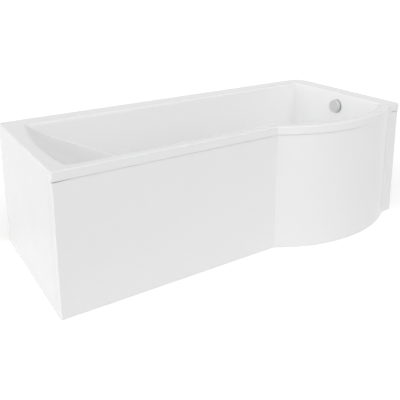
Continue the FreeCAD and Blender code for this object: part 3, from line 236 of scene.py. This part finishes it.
def moulding(name, dark, light):
    """Injection moulding: fine spark-eroded grain and slow flow marks."""
    material, tree, surface, place = finish_tree(name, {"IOR": 1.5})
    flow_stretch = (14.0, 14.0, 40.0)
    flow = noise(tree, stretched(tree, place, flow_stretch), scale=1.0, detail=3.0, distortion=1.0)
    colour = blend(tree, flow, dark, light)
    grain = noise(tree, place, scale=1500.0)
    both = reckon(tree, "ADD", flow, grain)
    roughness = between(tree, both, first=0.28, last=0.50, start=0.6, end=1.4)
    surface_links(tree, surface, colour, roughness, grain, strength=0.15, depth=0.08 * MM)
    return material


def turned_brass():
    """Brass off the lathe: fine tool rings and some tarnish."""
    material, tree, surface, place = finish_tree("turned_brass", {"Metallic": 1.0})
    ring_stretch = (60.0, 60.0, 2400.0)
    tarnish = noise(tree, place, scale=120.0, detail=4.0)
    colour = blend(tree, tarnish, (0.55, 0.39, 0.16), (0.74, 0.57, 0.29))
    roughness = between(tree, tarnish, first=0.46, last=0.29)
    rings = noise(tree, stretched(tree, place, ring_stretch), scale=1.0)
    surface_links(tree, surface, colour, roughness, rings, strength=0.2, depth=0.05 * MM)
    return material


ACRYLIC = gloss_acrylic()
FIBRE = fibre_backing()
CHROME = chrome_plate()
ZINC = zinc_steel()
CHIPS = pressed_chips()
SADDLE_TIMBER = sawn_timber("saddle_timber", (0.0, 0.0, 0.0))
BLOCK_TIMBER = sawn_timber("rim_block_timber", (0.0, 0.0, math.radians(90.0)))
RUBBER = black_rubber()
WHITE = moulding("white_moulding", (0.74, 0.74, 0.73), (0.82, 0.82, 0.81))
GREY = moulding("grey_moulding", (0.20, 0.205, 0.21), (0.27, 0.275, 0.28))
BLACK = moulding("black_moulding", (0.022, 0.022, 0.024), (0.05, 0.05, 0.052))
BRASS = turned_brass()

# Meshes
SAME_POINT = 0.001 * MM
SAME_FLAT = math.radians(1.0)
BROKEN_FROM = math.radians(50.0)


def piece(mesh, name, materials, body="bath", nodes=()):
    """A finished piece: its mesh as an object that rides on a body and stands for some nodes."""
    mesh.name = name
    mesh.materials.clear()
    for material in materials:
        mesh.materials.append(material)
    made = bpy.data.objects.new(name, mesh)
    bpy.context.scene.collection.objects.link(made)
    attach(made, body)
    if nodes:
        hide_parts(*nodes)
    return made


def drop_normals(mesh):
    """Takes away the corner normals that came with a mesh."""
    if "custom_normal" in mesh.attributes:
        mesh.attributes.remove(mesh.attributes["custom_normal"])


def welded(mesh):
    """The mesh as work in hand, with its triangles joined up."""
    work = bmesh.new()
    work.from_mesh(mesh)
    bmesh.ops.remove_doubles(work, verts=work.verts, dist=SAME_POINT)
    return work


def written(work, mesh):
    """The mesh with the work in hand written into it."""
    work.to_mesh(mesh)
    work.free()
    return mesh


def softened(node, width, material):
    """A piece like a node, whose flats are whole and whose edges are broken a little."""
    mesh = NODES[node].data.copy()
    drop_normals(mesh)
    work = welded(mesh)
    bmesh.ops.dissolve_limit(work, angle_limit=SAME_FLAT, verts=work.verts, edges=work.edges)
    written(work, mesh)
    mesh.polygons.foreach_set("use_smooth", [True] * len(mesh.polygons))
    made = piece(mesh, node + "_finished", [material], nodes=[node])
    edge = made.modifiers.new("broken_edges", "BEVEL")
    edge.width = width
    edge.segments = 2
    edge.limit_method = "ANGLE"
    edge.angle_limit = BROKEN_FROM
    edge.harden_normals = True


# Shell and panels: gloss on the side that shows, fibre behind, and the outer level edges broken.
# A face counts as up, out or level by its normal; places are in metres.
FACES_UP, FACES_OUT, FACES_LEVEL = 0.02, 0.3, 0.9
FRONT_Y, BACK_Y, END_X = -0.25, 0.30, 0.75
FASCIA_UNDER, FASCIA_LOW = 0.51, 0.5145
PANEL_FOOT = 0.01
EDGE_BREAK, EDGE_STEPS, EDGE_ROUND = 0.4 * MM, 3, 0.5


def outside(normal, middle):
    """True for a face that looks out from the front, an end, or the fascia at the back."""
    front = middle.y < FRONT_Y and normal.y < -FACES_OUT
    left = middle.x < -END_X and normal.x < -FACES_OUT
    back = middle.y > BACK_Y and normal.y > FACES_OUT and middle.z > FASCIA_LOW
    right = middle.x > END_X and normal.x > FACES_OUT
    return front or left or back or right


def shows(face):
    """True for a face on the gloss side: it looks up or out, or it is a lower edge of fascia or panel."""
    normal, middle = face.normal, face.center
    if normal.z > FACES_UP:
        return True
    if normal.z < -FACES_UP:
        low_edge = FASCIA_UNDER < middle.z < FASCIA_LOW + EDGE_BREAK or middle.z < PANEL_FOOT
        return low_edge and (normal.z < -FACES_LEVEL or outside(normal, middle))
    return outside(normal, middle)


def outer_level_edge(edge):
    """True for an edge between an upright face that looks out and a level face."""
    if len(edge.link_faces) != 2:
        return False
    upright, level = sorted(edge.link_faces, key=lambda face: abs(face.normal.z))
    if abs(upright.normal.z) > FACES_UP or abs(level.normal.z) < FACES_LEVEL:
        return False
    return outside(upright.normal, upright.calc_center_median())


def sheet_copy(node):
    """A node's mesh with its outer level edges broken, and elsewhere the normals that the solid gave."""
    mesh = NODES[node].data.copy()
    normals = [0.0] * (3 * len(mesh.loops))
    mesh.corner_normals.foreach_get("vector", normals)
    kept = mesh.attributes.new("solid_normal", "FLOAT_VECTOR", "CORNER")
    kept.data.foreach_set("vector", normals)
    drop_normals(mesh)
    work = welded(mesh)
    edges = [edge for edge in work.edges if outer_level_edge(edge)]
    cut = bmesh.ops.bevel(
        work, geom=edges, offset=EDGE_BREAK, offset_type="OFFSET", segments=EDGE_STEPS,
        profile=EDGE_ROUND, affect="EDGES", clamp_overlap=True)
    solid_normal = work.loops.layers.float_vector["solid_normal"]
    for face in cut["faces"]:
        face.normal_update()
        for corner in face.loops:
            corner[solid_normal] = face.normal
    written(work, mesh)
    kept = mesh.attributes["solid_normal"]
    mesh.normals_split_custom_set([tuple(corner.vector) for corner in kept.data])
    mesh.attributes.remove(mesh.attributes["solid_normal"])
    return mesh


for node in ("bath_shell", "front_panel", "end_panel"):
    sheet = sheet_copy(node)
    sides = [0 if shows(face) else 1 for face in sheet.polygons]
    piece(sheet, node + "_sheet", [ACRYLIC, FIBRE], nodes=[node])
    sheet.polygons.foreach_set("material_index", sides)

# Board, saddle, blocks, rails and brackets
BOARD_EDGE, SAWN_EDGE, STEEL_EDGE = 1.0 * MM, 1.5 * MM, 0.5 * MM
softened("base_board", BOARD_EDGE, CHIPS)
softened("backrest_saddle", SAWN_EDGE, SADDLE_TIMBER)
softened("rim_blocks", BOARD_EDGE, BLOCK_TIMBER)
STEEL = (
    "rail_backrest", "rail_middle", "rail_shower", "panel_clips", "front_panel_stays", "end_panel_stay",
    "wall_hook_back_left", "wall_hook_back_right", "wall_hook_end",
)
for node in STEEL:
    softened(node, STEEL_EDGE, ZINC)

# Trees that make what repeats
GEOMETRY, FLOAT, INTEGER = "NodeSocketGeometry", "NodeSocketFloat", "NodeSocketInt"
VECTOR, MATERIAL, OBJECT = "NodeSocketVector", "NodeSocketMaterial", "NodeSocketObject"
WELD = 0.002 * MM
ROWS_IN_A_TURN = 2.0
GRID_SIZE = 1.0
RIB_POINTS, RIB_SIDES = 9, 8
RIB_TIP, RIB_TAPER = 0.4, 5.0


def new_tree(name, sizes):
    """A tree with named inputs, and the sockets that give their values."""
    tree = bpy.data.node_groups.new(name, "GeometryNodeTree")
    for label, kind in sizes.items():
        tree.interface.new_socket(label, in_out="INPUT", socket_type=kind)
    tree.interface.new_socket("Mesh", in_out="OUTPUT", socket_type=GEOMETRY)
    return tree, tree.nodes.new("NodeGroupInput").outputs


def end_tree(tree, geometry, finish):
    """Every copy made real, with its finish."""
    whole = add(tree, "GeometryNodeRealizeInstances", {"Geometry": geometry}).outputs["Geometry"]
    done = add(tree, "GeometryNodeSetMaterial", {"Geometry": whole, "Material": finish})
    tree.links.new(done.outputs["Geometry"], tree.nodes.new("NodeGroupOutput").inputs["Mesh"])


def grown(tree, sizes, start=None):
    """What the tree makes of these sizes, as a plain mesh."""
    seed = bpy.data.objects.new("seed", start or bpy.data.meshes.new("seed"))
    bpy.context.scene.collection.objects.link(seed)
    maker = seed.modifiers.new("maker", "NODES")
    maker.node_group = tree
    for item in tree.interface.items_tree:
        if item.in_out == "INPUT" and item.name in sizes:
            maker[item.identifier] = sizes[item.name]
    seen = bpy.context.evaluated_depsgraph_get()
    mesh = bpy.data.meshes.new_from_object(seed.evaluated_get(seen), depsgraph=seen)
    seed.modifiers.remove(maker)
    bpy.data.objects.remove(seed)
    return mesh


def raised(tree, height):
    """A point at this height on the upright axis."""
    return add(tree, "ShaderNodeCombineXYZ", {"Z": height}).outputs["Vector"]


def turned_to(tree, axis):
    """The turn that brings the upright axis to this one."""
    return add(tree, "FunctionNodeAlignRotationToVector", {"Vector": axis}, axis="Z").outputs["Rotation"]


def threaded_rod_tree():
    """A screw thread: rows of points that climb one pitch in each turn, root and crest by turns."""
    tree, sizes = new_tree("threaded_rod", {
        "Crest Radius": FLOAT, "Root Radius": FLOAT, "Tip Radius": FLOAT, "Pitch": FLOAT, "Low": FLOAT,
        "High": FLOAT, "Around": INTEGER, "Place": VECTOR, "Finish": MATERIAL,
    })
    length = reckon(tree, "SUBTRACT", sizes["High"], sizes["Low"])
    turns = reckon(tree, "CEIL", reckon(tree, "DIVIDE", length, sizes["Pitch"]))
    last_row = reckon(tree, "MULTIPLY_ADD", turns, ROWS_IN_A_TURN, ROWS_IN_A_TURN)
    grid = add(tree, "GeometryNodeMeshGrid", {
        "Size X": GRID_SIZE, "Size Y": GRID_SIZE, "Vertices X": reckon(tree, "ADD", sizes["Around"], 1.0),
        "Vertices Y": reckon(tree, "ADD", last_row, 1.0),
    }).outputs["Mesh"]
    spot = add(tree, "GeometryNodeInputPosition").outputs["Position"]
    spot = add(tree, "ShaderNodeSeparateXYZ", {"Vector": spot}).outputs
    turn = reckon(tree, "ADD", spot["X"], GRID_SIZE / 2.0)
    share = reckon(tree, "ADD", spot["Y"], GRID_SIZE / 2.0)
    row = reckon(tree, "ROUND", reckon(tree, "MULTIPLY", share, last_row))
    climb = reckon(tree, "ADD", reckon(tree, "MULTIPLY_ADD", row, 1.0 / ROWS_IN_A_TURN, -1.0), turn)
    level = reckon(tree, "MULTIPLY_ADD", climb, sizes["Pitch"], sizes["Low"])
    level = reckon(tree, "MINIMUM", reckon(tree, "MAXIMUM", level, sizes["Low"]), sizes["High"])
    from_low = reckon(tree, "SUBTRACT", level, sizes["Low"])
    to_end = reckon(tree, "MINIMUM", from_low, reckon(tree, "SUBTRACT", sizes["High"], level))
    depth = reckon(tree, "SUBTRACT", sizes["Crest Radius"], sizes["Root Radius"])
    crest = reckon(tree, "MODULO", row, ROWS_IN_A_TURN)
    radius = reckon(tree, "MULTIPLY_ADD", crest, depth, sizes["Root Radius"])
    radius = reckon(tree, "MINIMUM", radius, reckon(tree, "ADD", to_end, sizes["Tip Radius"]))
    angle = reckon(tree, "MULTIPLY", turn, 2.0 * math.pi)
    across = reckon(tree, "MULTIPLY", radius, reckon(tree, "COSINE", angle))
    along = reckon(tree, "MULTIPLY", radius, reckon(tree, "SINE", angle))
    point = add(tree, "ShaderNodeCombineXYZ", {"X": across, "Y": along, "Z": level}).outputs["Vector"]
    flank = add(tree, "GeometryNodeSetPosition", {"Geometry": grid, "Position": point})
    end = add(tree, "GeometryNodeMeshCircle", {
        "Vertices": sizes["Around"], "Radius": sizes["Tip Radius"],
    }, fill_type="NGON").outputs["Mesh"]
    under = add(tree, "GeometryNodeFlipFaces", {"Mesh": end}).outputs["Mesh"]
    parts = add(tree, "GeometryNodeJoinGeometry", {"Geometry": flank.outputs["Geometry"]})
    for face, height in ((under, sizes["Low"]), (end, sizes["High"])):
        lift = raised(tree, height)
        moved = add(tree, "GeometryNodeTransform", {"Geometry": face, "Translation": lift})
        tree.links.new(moved.outputs["Geometry"], parts.inputs["Geometry"])
    closed = add(tree, "GeometryNodeMergeByDistance", {"Geometry": parts.outputs[0], "Distance": WELD})
    stood = add(tree, "GeometryNodeTransform", {
        "Geometry": closed.outputs["Geometry"], "Translation": sizes["Place"],
    }).outputs["Geometry"]
    end_tree(tree, stood, sizes["Finish"])
    return tree


def set_out_tree():
    """Copies of one part, each at a point and turned to that point's axis."""
    tree, given = new_tree("set_out", {"Points": GEOMETRY, "Part": OBJECT, "Finish": MATERIAL})
    axis = add(tree, "GeometryNodeInputNamedAttribute", {"Name": "axis"}, data_type="FLOAT_VECTOR")
    turn = turned_to(tree, axis.outputs["Attribute"])
    part = add(tree, "GeometryNodeObjectInfo", {"Object": given["Part"]}).outputs["Geometry"]
    copies = add(tree, "GeometryNodeInstanceOnPoints", {
        "Points": given["Points"], "Instance": part, "Rotation": turn,
    }).outputs["Instances"]
    end_tree(tree, copies, given["Finish"])
    return tree


def grip_ribs_tree():
    """A ring of rods with tapered ends, half sunk in the side of a nut, a cap or a foot."""
    tree, sizes = new_tree("grip_ribs", {
        "Ring Radius": FLOAT, "Rib Radius": FLOAT, "Length": FLOAT, "Count": INTEGER, "Place": VECTOR,
        "Axis": VECTOR, "Finish": MATERIAL,
    })
    half = reckon(tree, "MULTIPLY", sizes["Length"], 0.5)
    top, foot = raised(tree, half), raised(tree, reckon(tree, "MULTIPLY", half, -1.0))
    run = add(tree, "GeometryNodeCurvePrimitiveLine", {"Start": foot, "End": top}).outputs["Curve"]
    run = add(tree, "GeometryNodeResampleCurve", {"Curve": run, "Count": RIB_POINTS}).outputs["Curve"]
    share = add(tree, "GeometryNodeSplineParameter").outputs["Factor"]
    to_end = reckon(tree, "MINIMUM", share, reckon(tree, "SUBTRACT", 1.0, share))
    taper = reckon(tree, "MINIMUM", reckon(tree, "MULTIPLY_ADD", to_end, RIB_TAPER, RIB_TIP), 1.0)
    profile = add(tree, "GeometryNodeCurvePrimitiveCircle", {
        "Resolution": RIB_SIDES, "Radius": sizes["Rib Radius"],
    }).outputs["Curve"]
    rib = add(tree, "GeometryNodeCurveToMesh", {
        "Curve": run, "Profile Curve": profile, "Scale": taper, "Fill Caps": True,
    }).outputs["Mesh"]
    ring = add(tree, "GeometryNodeMeshCircle", {
        "Vertices": sizes["Count"], "Radius": sizes["Ring Radius"],
    }).outputs["Mesh"]
    ribs = add(tree, "GeometryNodeInstanceOnPoints", {"Points": ring, "Instance": rib})
    stood = add(tree, "GeometryNodeTransform", {
        "Geometry": ribs.outputs["Instances"], "Rotation": turned_to(tree, sizes["Axis"]),
        "Translation": sizes["Place"],
    }).outputs["Geometry"]
    end_tree(tree, stood, sizes["Finish"])
    return tree


THREADED_ROD = threaded_rod_tree()
SET_OUT = set_out_tree()
GRIP_RIBS = grip_ribs_tree()

# Shapes that the trees repeat. The creases and the chamfer are angles, and names that end in AROUND
# count corners. The rest are shares: of the nut's width across its flats, of the head's radius and
# height, and of the shank's radius.
NUT_CREASE, THREAD_CREASE, RIB_CREASE = 25.0, 35.0, 60.0
NUT_AROUND, NUT_BREAK, NUT_WASHER = 48, 0.05, 0.47
NUT_CHAMFER = math.radians(30.0)
HEAD_AROUND = 24
HEAD_OUTLINE = ((1.0, 0.0), (1.0, 0.35), (0.96, 0.58), (0.86, 0.80), (0.72, 0.94), (0.60, 1.0))
RECESS_ARM, RECESS_WIDTH = 0.44, 0.13
RECESS_LEVELS = ((1.0, 1.0), (0.6, 0.35))
SCREW_AROUND, SCREW_ROOT, SCREW_TIP, SCREW_PITCH = 16, 0.76, 0.45, 0.55
SHANK_IN_HEAD = 0.3

# Corners this near to an end of a screw belong to it, and its length in metres keeps this many digits
SCREW_END, LENGTH_DIGITS = 0.05 * MM, 5


def creased(mesh, degrees):
    """Smooth all over, apart from the edges that bend more than this."""
    mesh.polygons.foreach_set("use_smooth", [True] * len(mesh.polygons))
    mesh.set_sharp_from_angle(angle=math.radians(degrees))
    return mesh


def joined(meshes):
    """Several meshes as one."""
    work = bmesh.new()
    for mesh in meshes:
        work.from_mesh(mesh)
    return written(work, bpy.data.meshes.new("joined"))


def ring_of_points(work, around, spot):
    """Corners about the upright axis, where spot gives the radius and height at an angle."""
    corners = []
    for step in range(around):
        angle = 2.0 * math.pi * step / around
        radius, height = spot(angle)
        corners.append(work.verts.new((radius * math.cos(angle), radius * math.sin(angle), height)))
    return corners


def joined_rings(work, first, second):
    """A band of faces between two rings of as many corners."""
    for step in range(len(first)):
        after = (step + 1) % len(first)
        work.faces.new((first[step], first[after], second[after], second[step]))


def hex_nut(flats, height, bore):
    """A nut with its corners turned off at both ends and a broken edge round the bore."""
    break_edge, washer = NUT_BREAK * flats, NUT_WASHER * flats

    def reach(angle):
        return flats / 2.0 / math.cos(angle % (math.pi / 3.0) - math.pi / 6.0)

    def corner_drop(angle):
        return (reach(angle) - washer) * math.tan(NUT_CHAMFER)

    spots = [
        lambda angle: (bore, break_edge),
        lambda angle: (bore + break_edge, 0.0),
        lambda angle: (washer, 0.0),
        lambda angle: (reach(angle), corner_drop(angle)),
        lambda angle: (reach(angle), height - corner_drop(angle)),
        lambda angle: (washer, height),
        lambda angle: (bore + break_edge, height),
        lambda angle: (bore, height - break_edge),
    ]
    work = bmesh.new()
    rings = [ring_of_points(work, NUT_AROUND, spot) for spot in spots]
    for first, second in zip(rings, rings[1:] + rings[:1]):
        joined_rings(work, first, second)
    bmesh.ops.recalc_face_normals(work, faces=work.faces)
    return creased(written(work, bpy.data.meshes.new("hex_nut")), NUT_CREASE)


def pan_head(radius, height):
    """A screw's head below zero height: a rounded pan with a cross recess in its top."""
    work = bmesh.new()
    rings = [
        ring_of_points(work, HEAD_AROUND, lambda angle, r=r, h=h: (r * radius, -h * height))
        for r, h in HEAD_OUTLINE
    ]
    work.faces.new(rings[0])
    for first, second in zip(rings, rings[1:]):
        joined_rings(work, first, second)
    arm, width = RECESS_ARM * radius, RECESS_WIDTH * radius
    quarter = ((arm, -width), (arm, width), (width, width))
    levels = []
    for share, depth in RECESS_LEVELS:
        cross = []
        for step in range(4):
            turn = math.radians(90.0 * step)
            for x, y in quarter:
                across = (x * math.cos(turn) - y * math.sin(turn)) * share
                along = (x * math.sin(turn) + y * math.cos(turn)) * share
                cross.append(work.verts.new((across, along, -depth * height)))
        levels.append(cross)
    joined_rings(work, *levels)
    work.faces.new(levels[1])
    rims = []
    for loop in (rings[-1], levels[0]):
        rims += [work.edges.get((loop[step - 1], loop[step])) for step in range(len(loop))]
    bmesh.ops.triangle_fill(work, use_beauty=True, edges=rims)
    bmesh.ops.recalc_face_normals(work, faces=work.faces)
    return written(work, bpy.data.meshes.new("pan_head"))


def pan_head_screw(head_radius, head, radius, length):
    """A screw that points up, with the underside of its head at zero height."""
    shank = grown(THREADED_ROD, {
        "Crest Radius": radius, "Root Radius": SCREW_ROOT * radius, "Tip Radius": SCREW_TIP * radius,
        "Pitch": SCREW_PITCH * radius, "Low": -SHANK_IN_HEAD * head, "High": length,
        "Around": SCREW_AROUND, "Place": (0.0, 0.0, 0.0), "Finish": ZINC,
    })
    return creased(joined([pan_head(head_radius, head), shank]), THREAD_CREASE)


def islands(node):
    """The corner points of each separate solid in a node."""
    work = welded(NODES[node].data)
    solids = []
    for first in work.verts:
        if first.tag:
            continue
        first.tag = True
        reached = [first]
        for corner in reached:
            for edge in corner.link_edges:
                other = edge.other_vert(corner)
                if not other.tag:
                    other.tag = True
                    reached.append(other)
        solids.append(np.array([corner.co for corner in reached]))
    work.free()
    return solids


def set_out(part, places):
    """Copies of a part at (point, axis) places, as one mesh."""
    points = bpy.data.meshes.new("places")
    points.from_pydata([tuple(point) for point, axis in places], [], [])
    axes = points.attributes.new("axis", "FLOAT_VECTOR", "POINT")
    axes.data.foreach_set("vector", [value for point, axis in places for value in axis])
    pattern = bpy.data.objects.new("pattern", part)
    bpy.context.scene.collection.objects.link(pattern)
    mesh = grown(SET_OUT, {"Part": pattern, "Finish": ZINC}, points)
    bpy.data.objects.remove(pattern)
    return mesh


def screw_place(corners, head):
    """Where the underside of a screw's head is, which way it points, and how long its shank is."""
    low, high = corners.min(axis=0), corners.max(axis=0)
    spreads = []
    for way in range(3):
        ends = [corners[abs(corners[:, way] - end[way]) < SCREW_END] for end in (low, high)]
        spreads.append([float(np.ptp(end, axis=0).sum()) for end in ends])
    way = max(range(3), key=lambda one: abs(spreads[one][0] - spreads[one][1]))
    sign = 1.0 if spreads[way][0] > spreads[way][1] else -1.0
    point = (low + high) / 2.0
    point[way] = low[way] + head if sign > 0 else high[way] - head
    axis = np.zeros(3)
    axis[way] = sign
    return point, axis, round(float(high[way] - low[way] - head), LENGTH_DIGITS)


# Screws, by head radius, head height and shank radius in millimetres
SCREWS = {
    "rail_screws": (5.0, 3.0, 2.5),
    "clip_screws": (4.0, 2.0, 2.0),
    "stay_screws": (3.5, 2.5, 1.75),
}
for node, sizes in SCREWS.items():
    head_radius, head, radius = [size * MM for size in sizes]
    places = [screw_place(corners, head) for corners in islands(node)]
    meshes = []
    for length in sorted({place[2] for place in places}):
        part = pan_head_screw(head_radius, head, radius, length)
        meshes.append(set_out(part, [place[:2] for place in places if place[2] == length]))
    piece(creased(joined(meshes), THREAD_CREASE), node + "_cut", [ZINC], nodes=[node])

# Lock nuts
NUT_FLATS, NUT_HEIGHT, NUT_BORE = 17.0 * MM, 8.0 * MM, 5.06 * MM
nut_places = []
for corners in islands("rail_nuts"):
    middle = (corners.min(axis=0) + corners.max(axis=0)) / 2.0
    nut_places.append(((middle[0], middle[1], corners[:, 2].min()), UP))
nuts = set_out(hex_nut(NUT_FLATS, NUT_HEIGHT, NUT_BORE), nut_places)
piece(creased(nuts, NUT_CREASE), "rail_nuts_cut", [ZINC], nodes=["rail_nuts"])

# Feet: threaded stems, and pads with ribs to turn them by
FEET = ["%s_%s" % (rail, side) for rail in ("backrest", "middle", "shower") for side in ("front", "back")]
STEM = {
    "Crest Radius": 5.0 * MM, "Root Radius": 4.1 * MM, "Tip Radius": 3.9 * MM, "Pitch": 1.5 * MM,
    "Around": 24, "Finish": ZINC,
}
PAD_RIBS = {
    "Ring Radius": 24.8 * MM, "Rib Radius": 1.6 * MM, "Length": 12.0 * MM, "Count": 16, "Axis": UP,
    "Finish": BLACK,
}
PAD_RIBS_LEVEL = 8.0 * MM
for foot in FEET:
    body, node = "foot_" + foot, "foot_stem_" + foot
    low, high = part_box(node)
    centre = (low + high) / 2.0
    stem = grown(THREADED_ROD, {
        **STEM, "Low": low.z, "High": high.z, "Place": (centre.x, centre.y, 0.0),
    })
    piece(creased(stem, THREAD_CREASE), node + "_thread", [ZINC], body, [node])
    ribs = grown(GRIP_RIBS, {**PAD_RIBS, "Place": (centre.x, centre.y, PAD_RIBS_LEVEL)})
    piece(creased(ribs, RIB_CREASE), "foot_ribs_" + foot, [BLACK], body)

# Ribs on the parts of the waste that are turned by hand
NUT_RIB, NUT_RIBBED = 1.3 * MM, 0.8
CAP_RIB, CAP_RIB_LENGTH, CAP_RIB_COUNT, CAP_RIB_DROP = 1.4 * MM, 6.4 * MM, 32, 4.0 * MM


def spin_axis(corners):
    """The axis of a ring: the one way in which its corners spread differently from the other two."""
    spread, ways = np.linalg.eigh(np.cov((corners - corners.mean(axis=0)).T))
    odd = 0 if spread[1] - spread[0] > spread[2] - spread[1] else 2
    return ways[:, odd]


def nut_ribs(node, count, name):
    """Ribs round most of the length of each ring in a node."""
    meshes = []
    for corners in islands(node):
        axis = spin_axis(corners)
        along = corners @ axis
        middle = (along.min() + along.max()) / 2.0
        side = corners - np.outer(along, axis)
        centre = (side.min(axis=0) + side.max(axis=0)) / 2.0
        radius = np.linalg.norm(side - centre, axis=1).max()
        meshes.append(grown(GRIP_RIBS, {
            "Ring Radius": float(radius), "Rib Radius": NUT_RIB, "Count": count,
            "Length": float(NUT_RIBBED * np.ptp(along)), "Place": tuple(centre + middle * axis),
            "Axis": tuple(axis), "Finish": WHITE,
        }))
    piece(creased(joined(meshes), RIB_CREASE), name, [WHITE])


nut_ribs("trap_union_nut", 24, "union_nut_ribs")
nut_ribs("outlet_nut", 24, "outlet_nut_ribs")
nut_ribs("pipe_nuts", 20, "pipe_nut_ribs")
cap_low, cap_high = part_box("trap_cap")
cap_centre = (cap_low + cap_high) / 2.0
cap_ribs = grown(GRIP_RIBS, {
    "Ring Radius": (cap_high.x - cap_low.x) / 2.0, "Rib Radius": CAP_RIB, "Length": CAP_RIB_LENGTH,
    "Count": CAP_RIB_COUNT, "Place": (cap_centre.x, cap_centre.y, cap_high.z - CAP_RIB_DROP),
    "Axis": UP, "Finish": WHITE,
})
piece(creased(cap_ribs, RIB_CREASE), "trap_cap_ribs", [WHITE])

# The remaining nodes keep their shape
AS_BUILT = {
    CHROME: ["waste_flange", "pop_up_plug", "overflow_rosette", "overflow_knob"],
    RUBBER: ["waste_gasket", "plug_seal", "overflow_gasket"],
    WHITE: ["panel_seam_strip", "waste_body", "trap_cup", "trap_cap", "trap_union_nut", "outlet_pipe",
            "outlet_nut", "overflow_body", "pipe_nuts"],
    GREY: ["overflow_pipe"],
    BRASS: ["plug_stem", "knob_shaft", "lifting_lever"],
    ZINC: ["knob_grub_screw", "guide_tube", "pull_wire"],
    BLACK: ["foot_pad_" + foot for foot in FEET],
}
for material, names in AS_BUILT.items():
    for name in names:
        NODES[name].data.materials.clear()
        NODES[name].data.materials.append(material)

# Stage: a pale floor that reads white and keeps the shadow, and an even fill with four soft boxes, at
# the left, in front, at the right and at the back. A soft box is the way to it and its strength.
FLOOR_HALF = 30.0
FLOOR_TONE = 0.72
FLOOR_GLOW = 0.5
FILL = 0.2
BOX_FOCUS = 6.0
LOW, RAISED = math.radians(12.0), math.radians(42.0)
SOFT_BOXES = [
    ((-math.cos(LOW), 0.0, math.sin(LOW)), 2.42),
    ((0.0, -math.cos(RAISED), math.sin(RAISED)), 1.92),
    ((math.cos(LOW), 0.0, math.sin(LOW)), 0.4),
    ((0.0, math.cos(LOW), math.sin(LOW)), 0.55),
]

# The photo's view, as nearly as a camera with a small shift can give it
SENSOR_WIDTH, LENS_LENGTH, LENS_SHIFT = 36.0, 50.37, -0.24
CLIP_NEAR, CLIP_FAR = 0.05, 200.0
CAMERA_PLACE = (-1.350, -1.992, 1.200)
YAW, TILT, ROLL = math.radians(32.38), math.radians(14.02), math.radians(0.31)


def seen_directly(tree):
    """One for rays from the camera, off a mirror or through glass, nought for the rest."""
    path = add(tree, "ShaderNodeLightPath").outputs
    either = reckon(tree, "MAXIMUM", path["Is Camera Ray"], path["Is Glossy Ray"])
    return reckon(tree, "MAXIMUM", either, path["Is Transmission Ray"])


def studio_floor():
    """A matt floor that glows just enough, for rays that see it directly, to read white."""
    mesh = bpy.data.meshes.new("studio_floor")
    half = FLOOR_HALF
    corners = [(-half, -half, 0.0), (half, -half, 0.0), (half, half, 0.0), (-half, half, 0.0)]
    mesh.from_pydata(corners, [], [(0, 1, 2, 3)])
    material = bpy.data.materials.new("pale_floor")
    material.use_nodes = True
    tree = material.node_tree
    tree.nodes.clear()
    matt = add(tree, "ShaderNodeBsdfDiffuse", {"Color": (FLOOR_TONE, FLOOR_TONE, FLOOR_TONE, 1.0)})
    glow_share = reckon(tree, "MULTIPLY", seen_directly(tree), FLOOR_GLOW)
    glow = add(tree, "ShaderNodeEmission", {"Color": WHITE_LIGHT, "Strength": glow_share})
    both = add(tree, "ShaderNodeAddShader", {0: matt.outputs[0], 1: glow.outputs[0]}).outputs[0]
    add(tree, "ShaderNodeOutputMaterial", {"Surface": both})
    mesh.materials.append(material)
    floor = bpy.data.objects.new("studio_floor", mesh)
    bpy.context.scene.collection.objects.link(floor)


def studio_light():
    """The fill and the soft boxes, and plain white for rays that see the world directly."""
    world = bpy.data.worlds.new("soft_studio")
    bpy.context.scene.world = world
    world.use_nodes = True
    tree = world.node_tree
    tree.nodes.clear()
    ray = add(tree, "ShaderNodeTexCoord").outputs["Generated"]
    level = FILL
    for direction, strength in SOFT_BOXES:
        towards = add(tree, "ShaderNodeVectorMath", {0: ray, 1: direction}, operation="DOT_PRODUCT")
        facing = reckon(tree, "MAXIMUM", towards.outputs["Value"], 0.0)
        share = reckon(tree, "POWER", facing, BOX_FOCUS)
        level = reckon(tree, "MULTIPLY_ADD", share, strength, level)
    direct = seen_directly(tree)
    kept = reckon(tree, "SUBTRACT", 1.0, direct)
    strength = reckon(tree, "MULTIPLY_ADD", level, kept, direct)
    sky = add(tree, "ShaderNodeBackground", {"Color": WHITE_LIGHT, "Strength": strength}).outputs[0]
    add(tree, "ShaderNodeOutputWorld", {"Surface": sky})


def photo_camera():
    """A camera about where the photo was taken from."""
    lens = bpy.data.cameras.new("photo_camera")
    lens.sensor_width = SENSOR_WIDTH
    lens.lens = LENS_LENGTH
    lens.shift_y = LENS_SHIFT
    lens.clip_start, lens.clip_end = CLIP_NEAR, CLIP_FAR
    camera = bpy.data.objects.new("photo_camera", lens)
    camera.location = CAMERA_PLACE
    forward = Vector((math.cos(TILT) * math.sin(YAW), math.cos(TILT) * math.cos(YAW), -math.sin(TILT)))
    camera.rotation_mode = "QUATERNION"
    camera.rotation_quaternion = forward.to_track_quat("-Z", "Y") @ Quaternion(UP, -ROLL)
    bpy.context.scene.collection.objects.link(camera)
    bpy.context.scene.camera = camera


studio_floor()
studio_light()
photo_camera()
bpy.context.scene.view_settings.view_transform = "Standard"
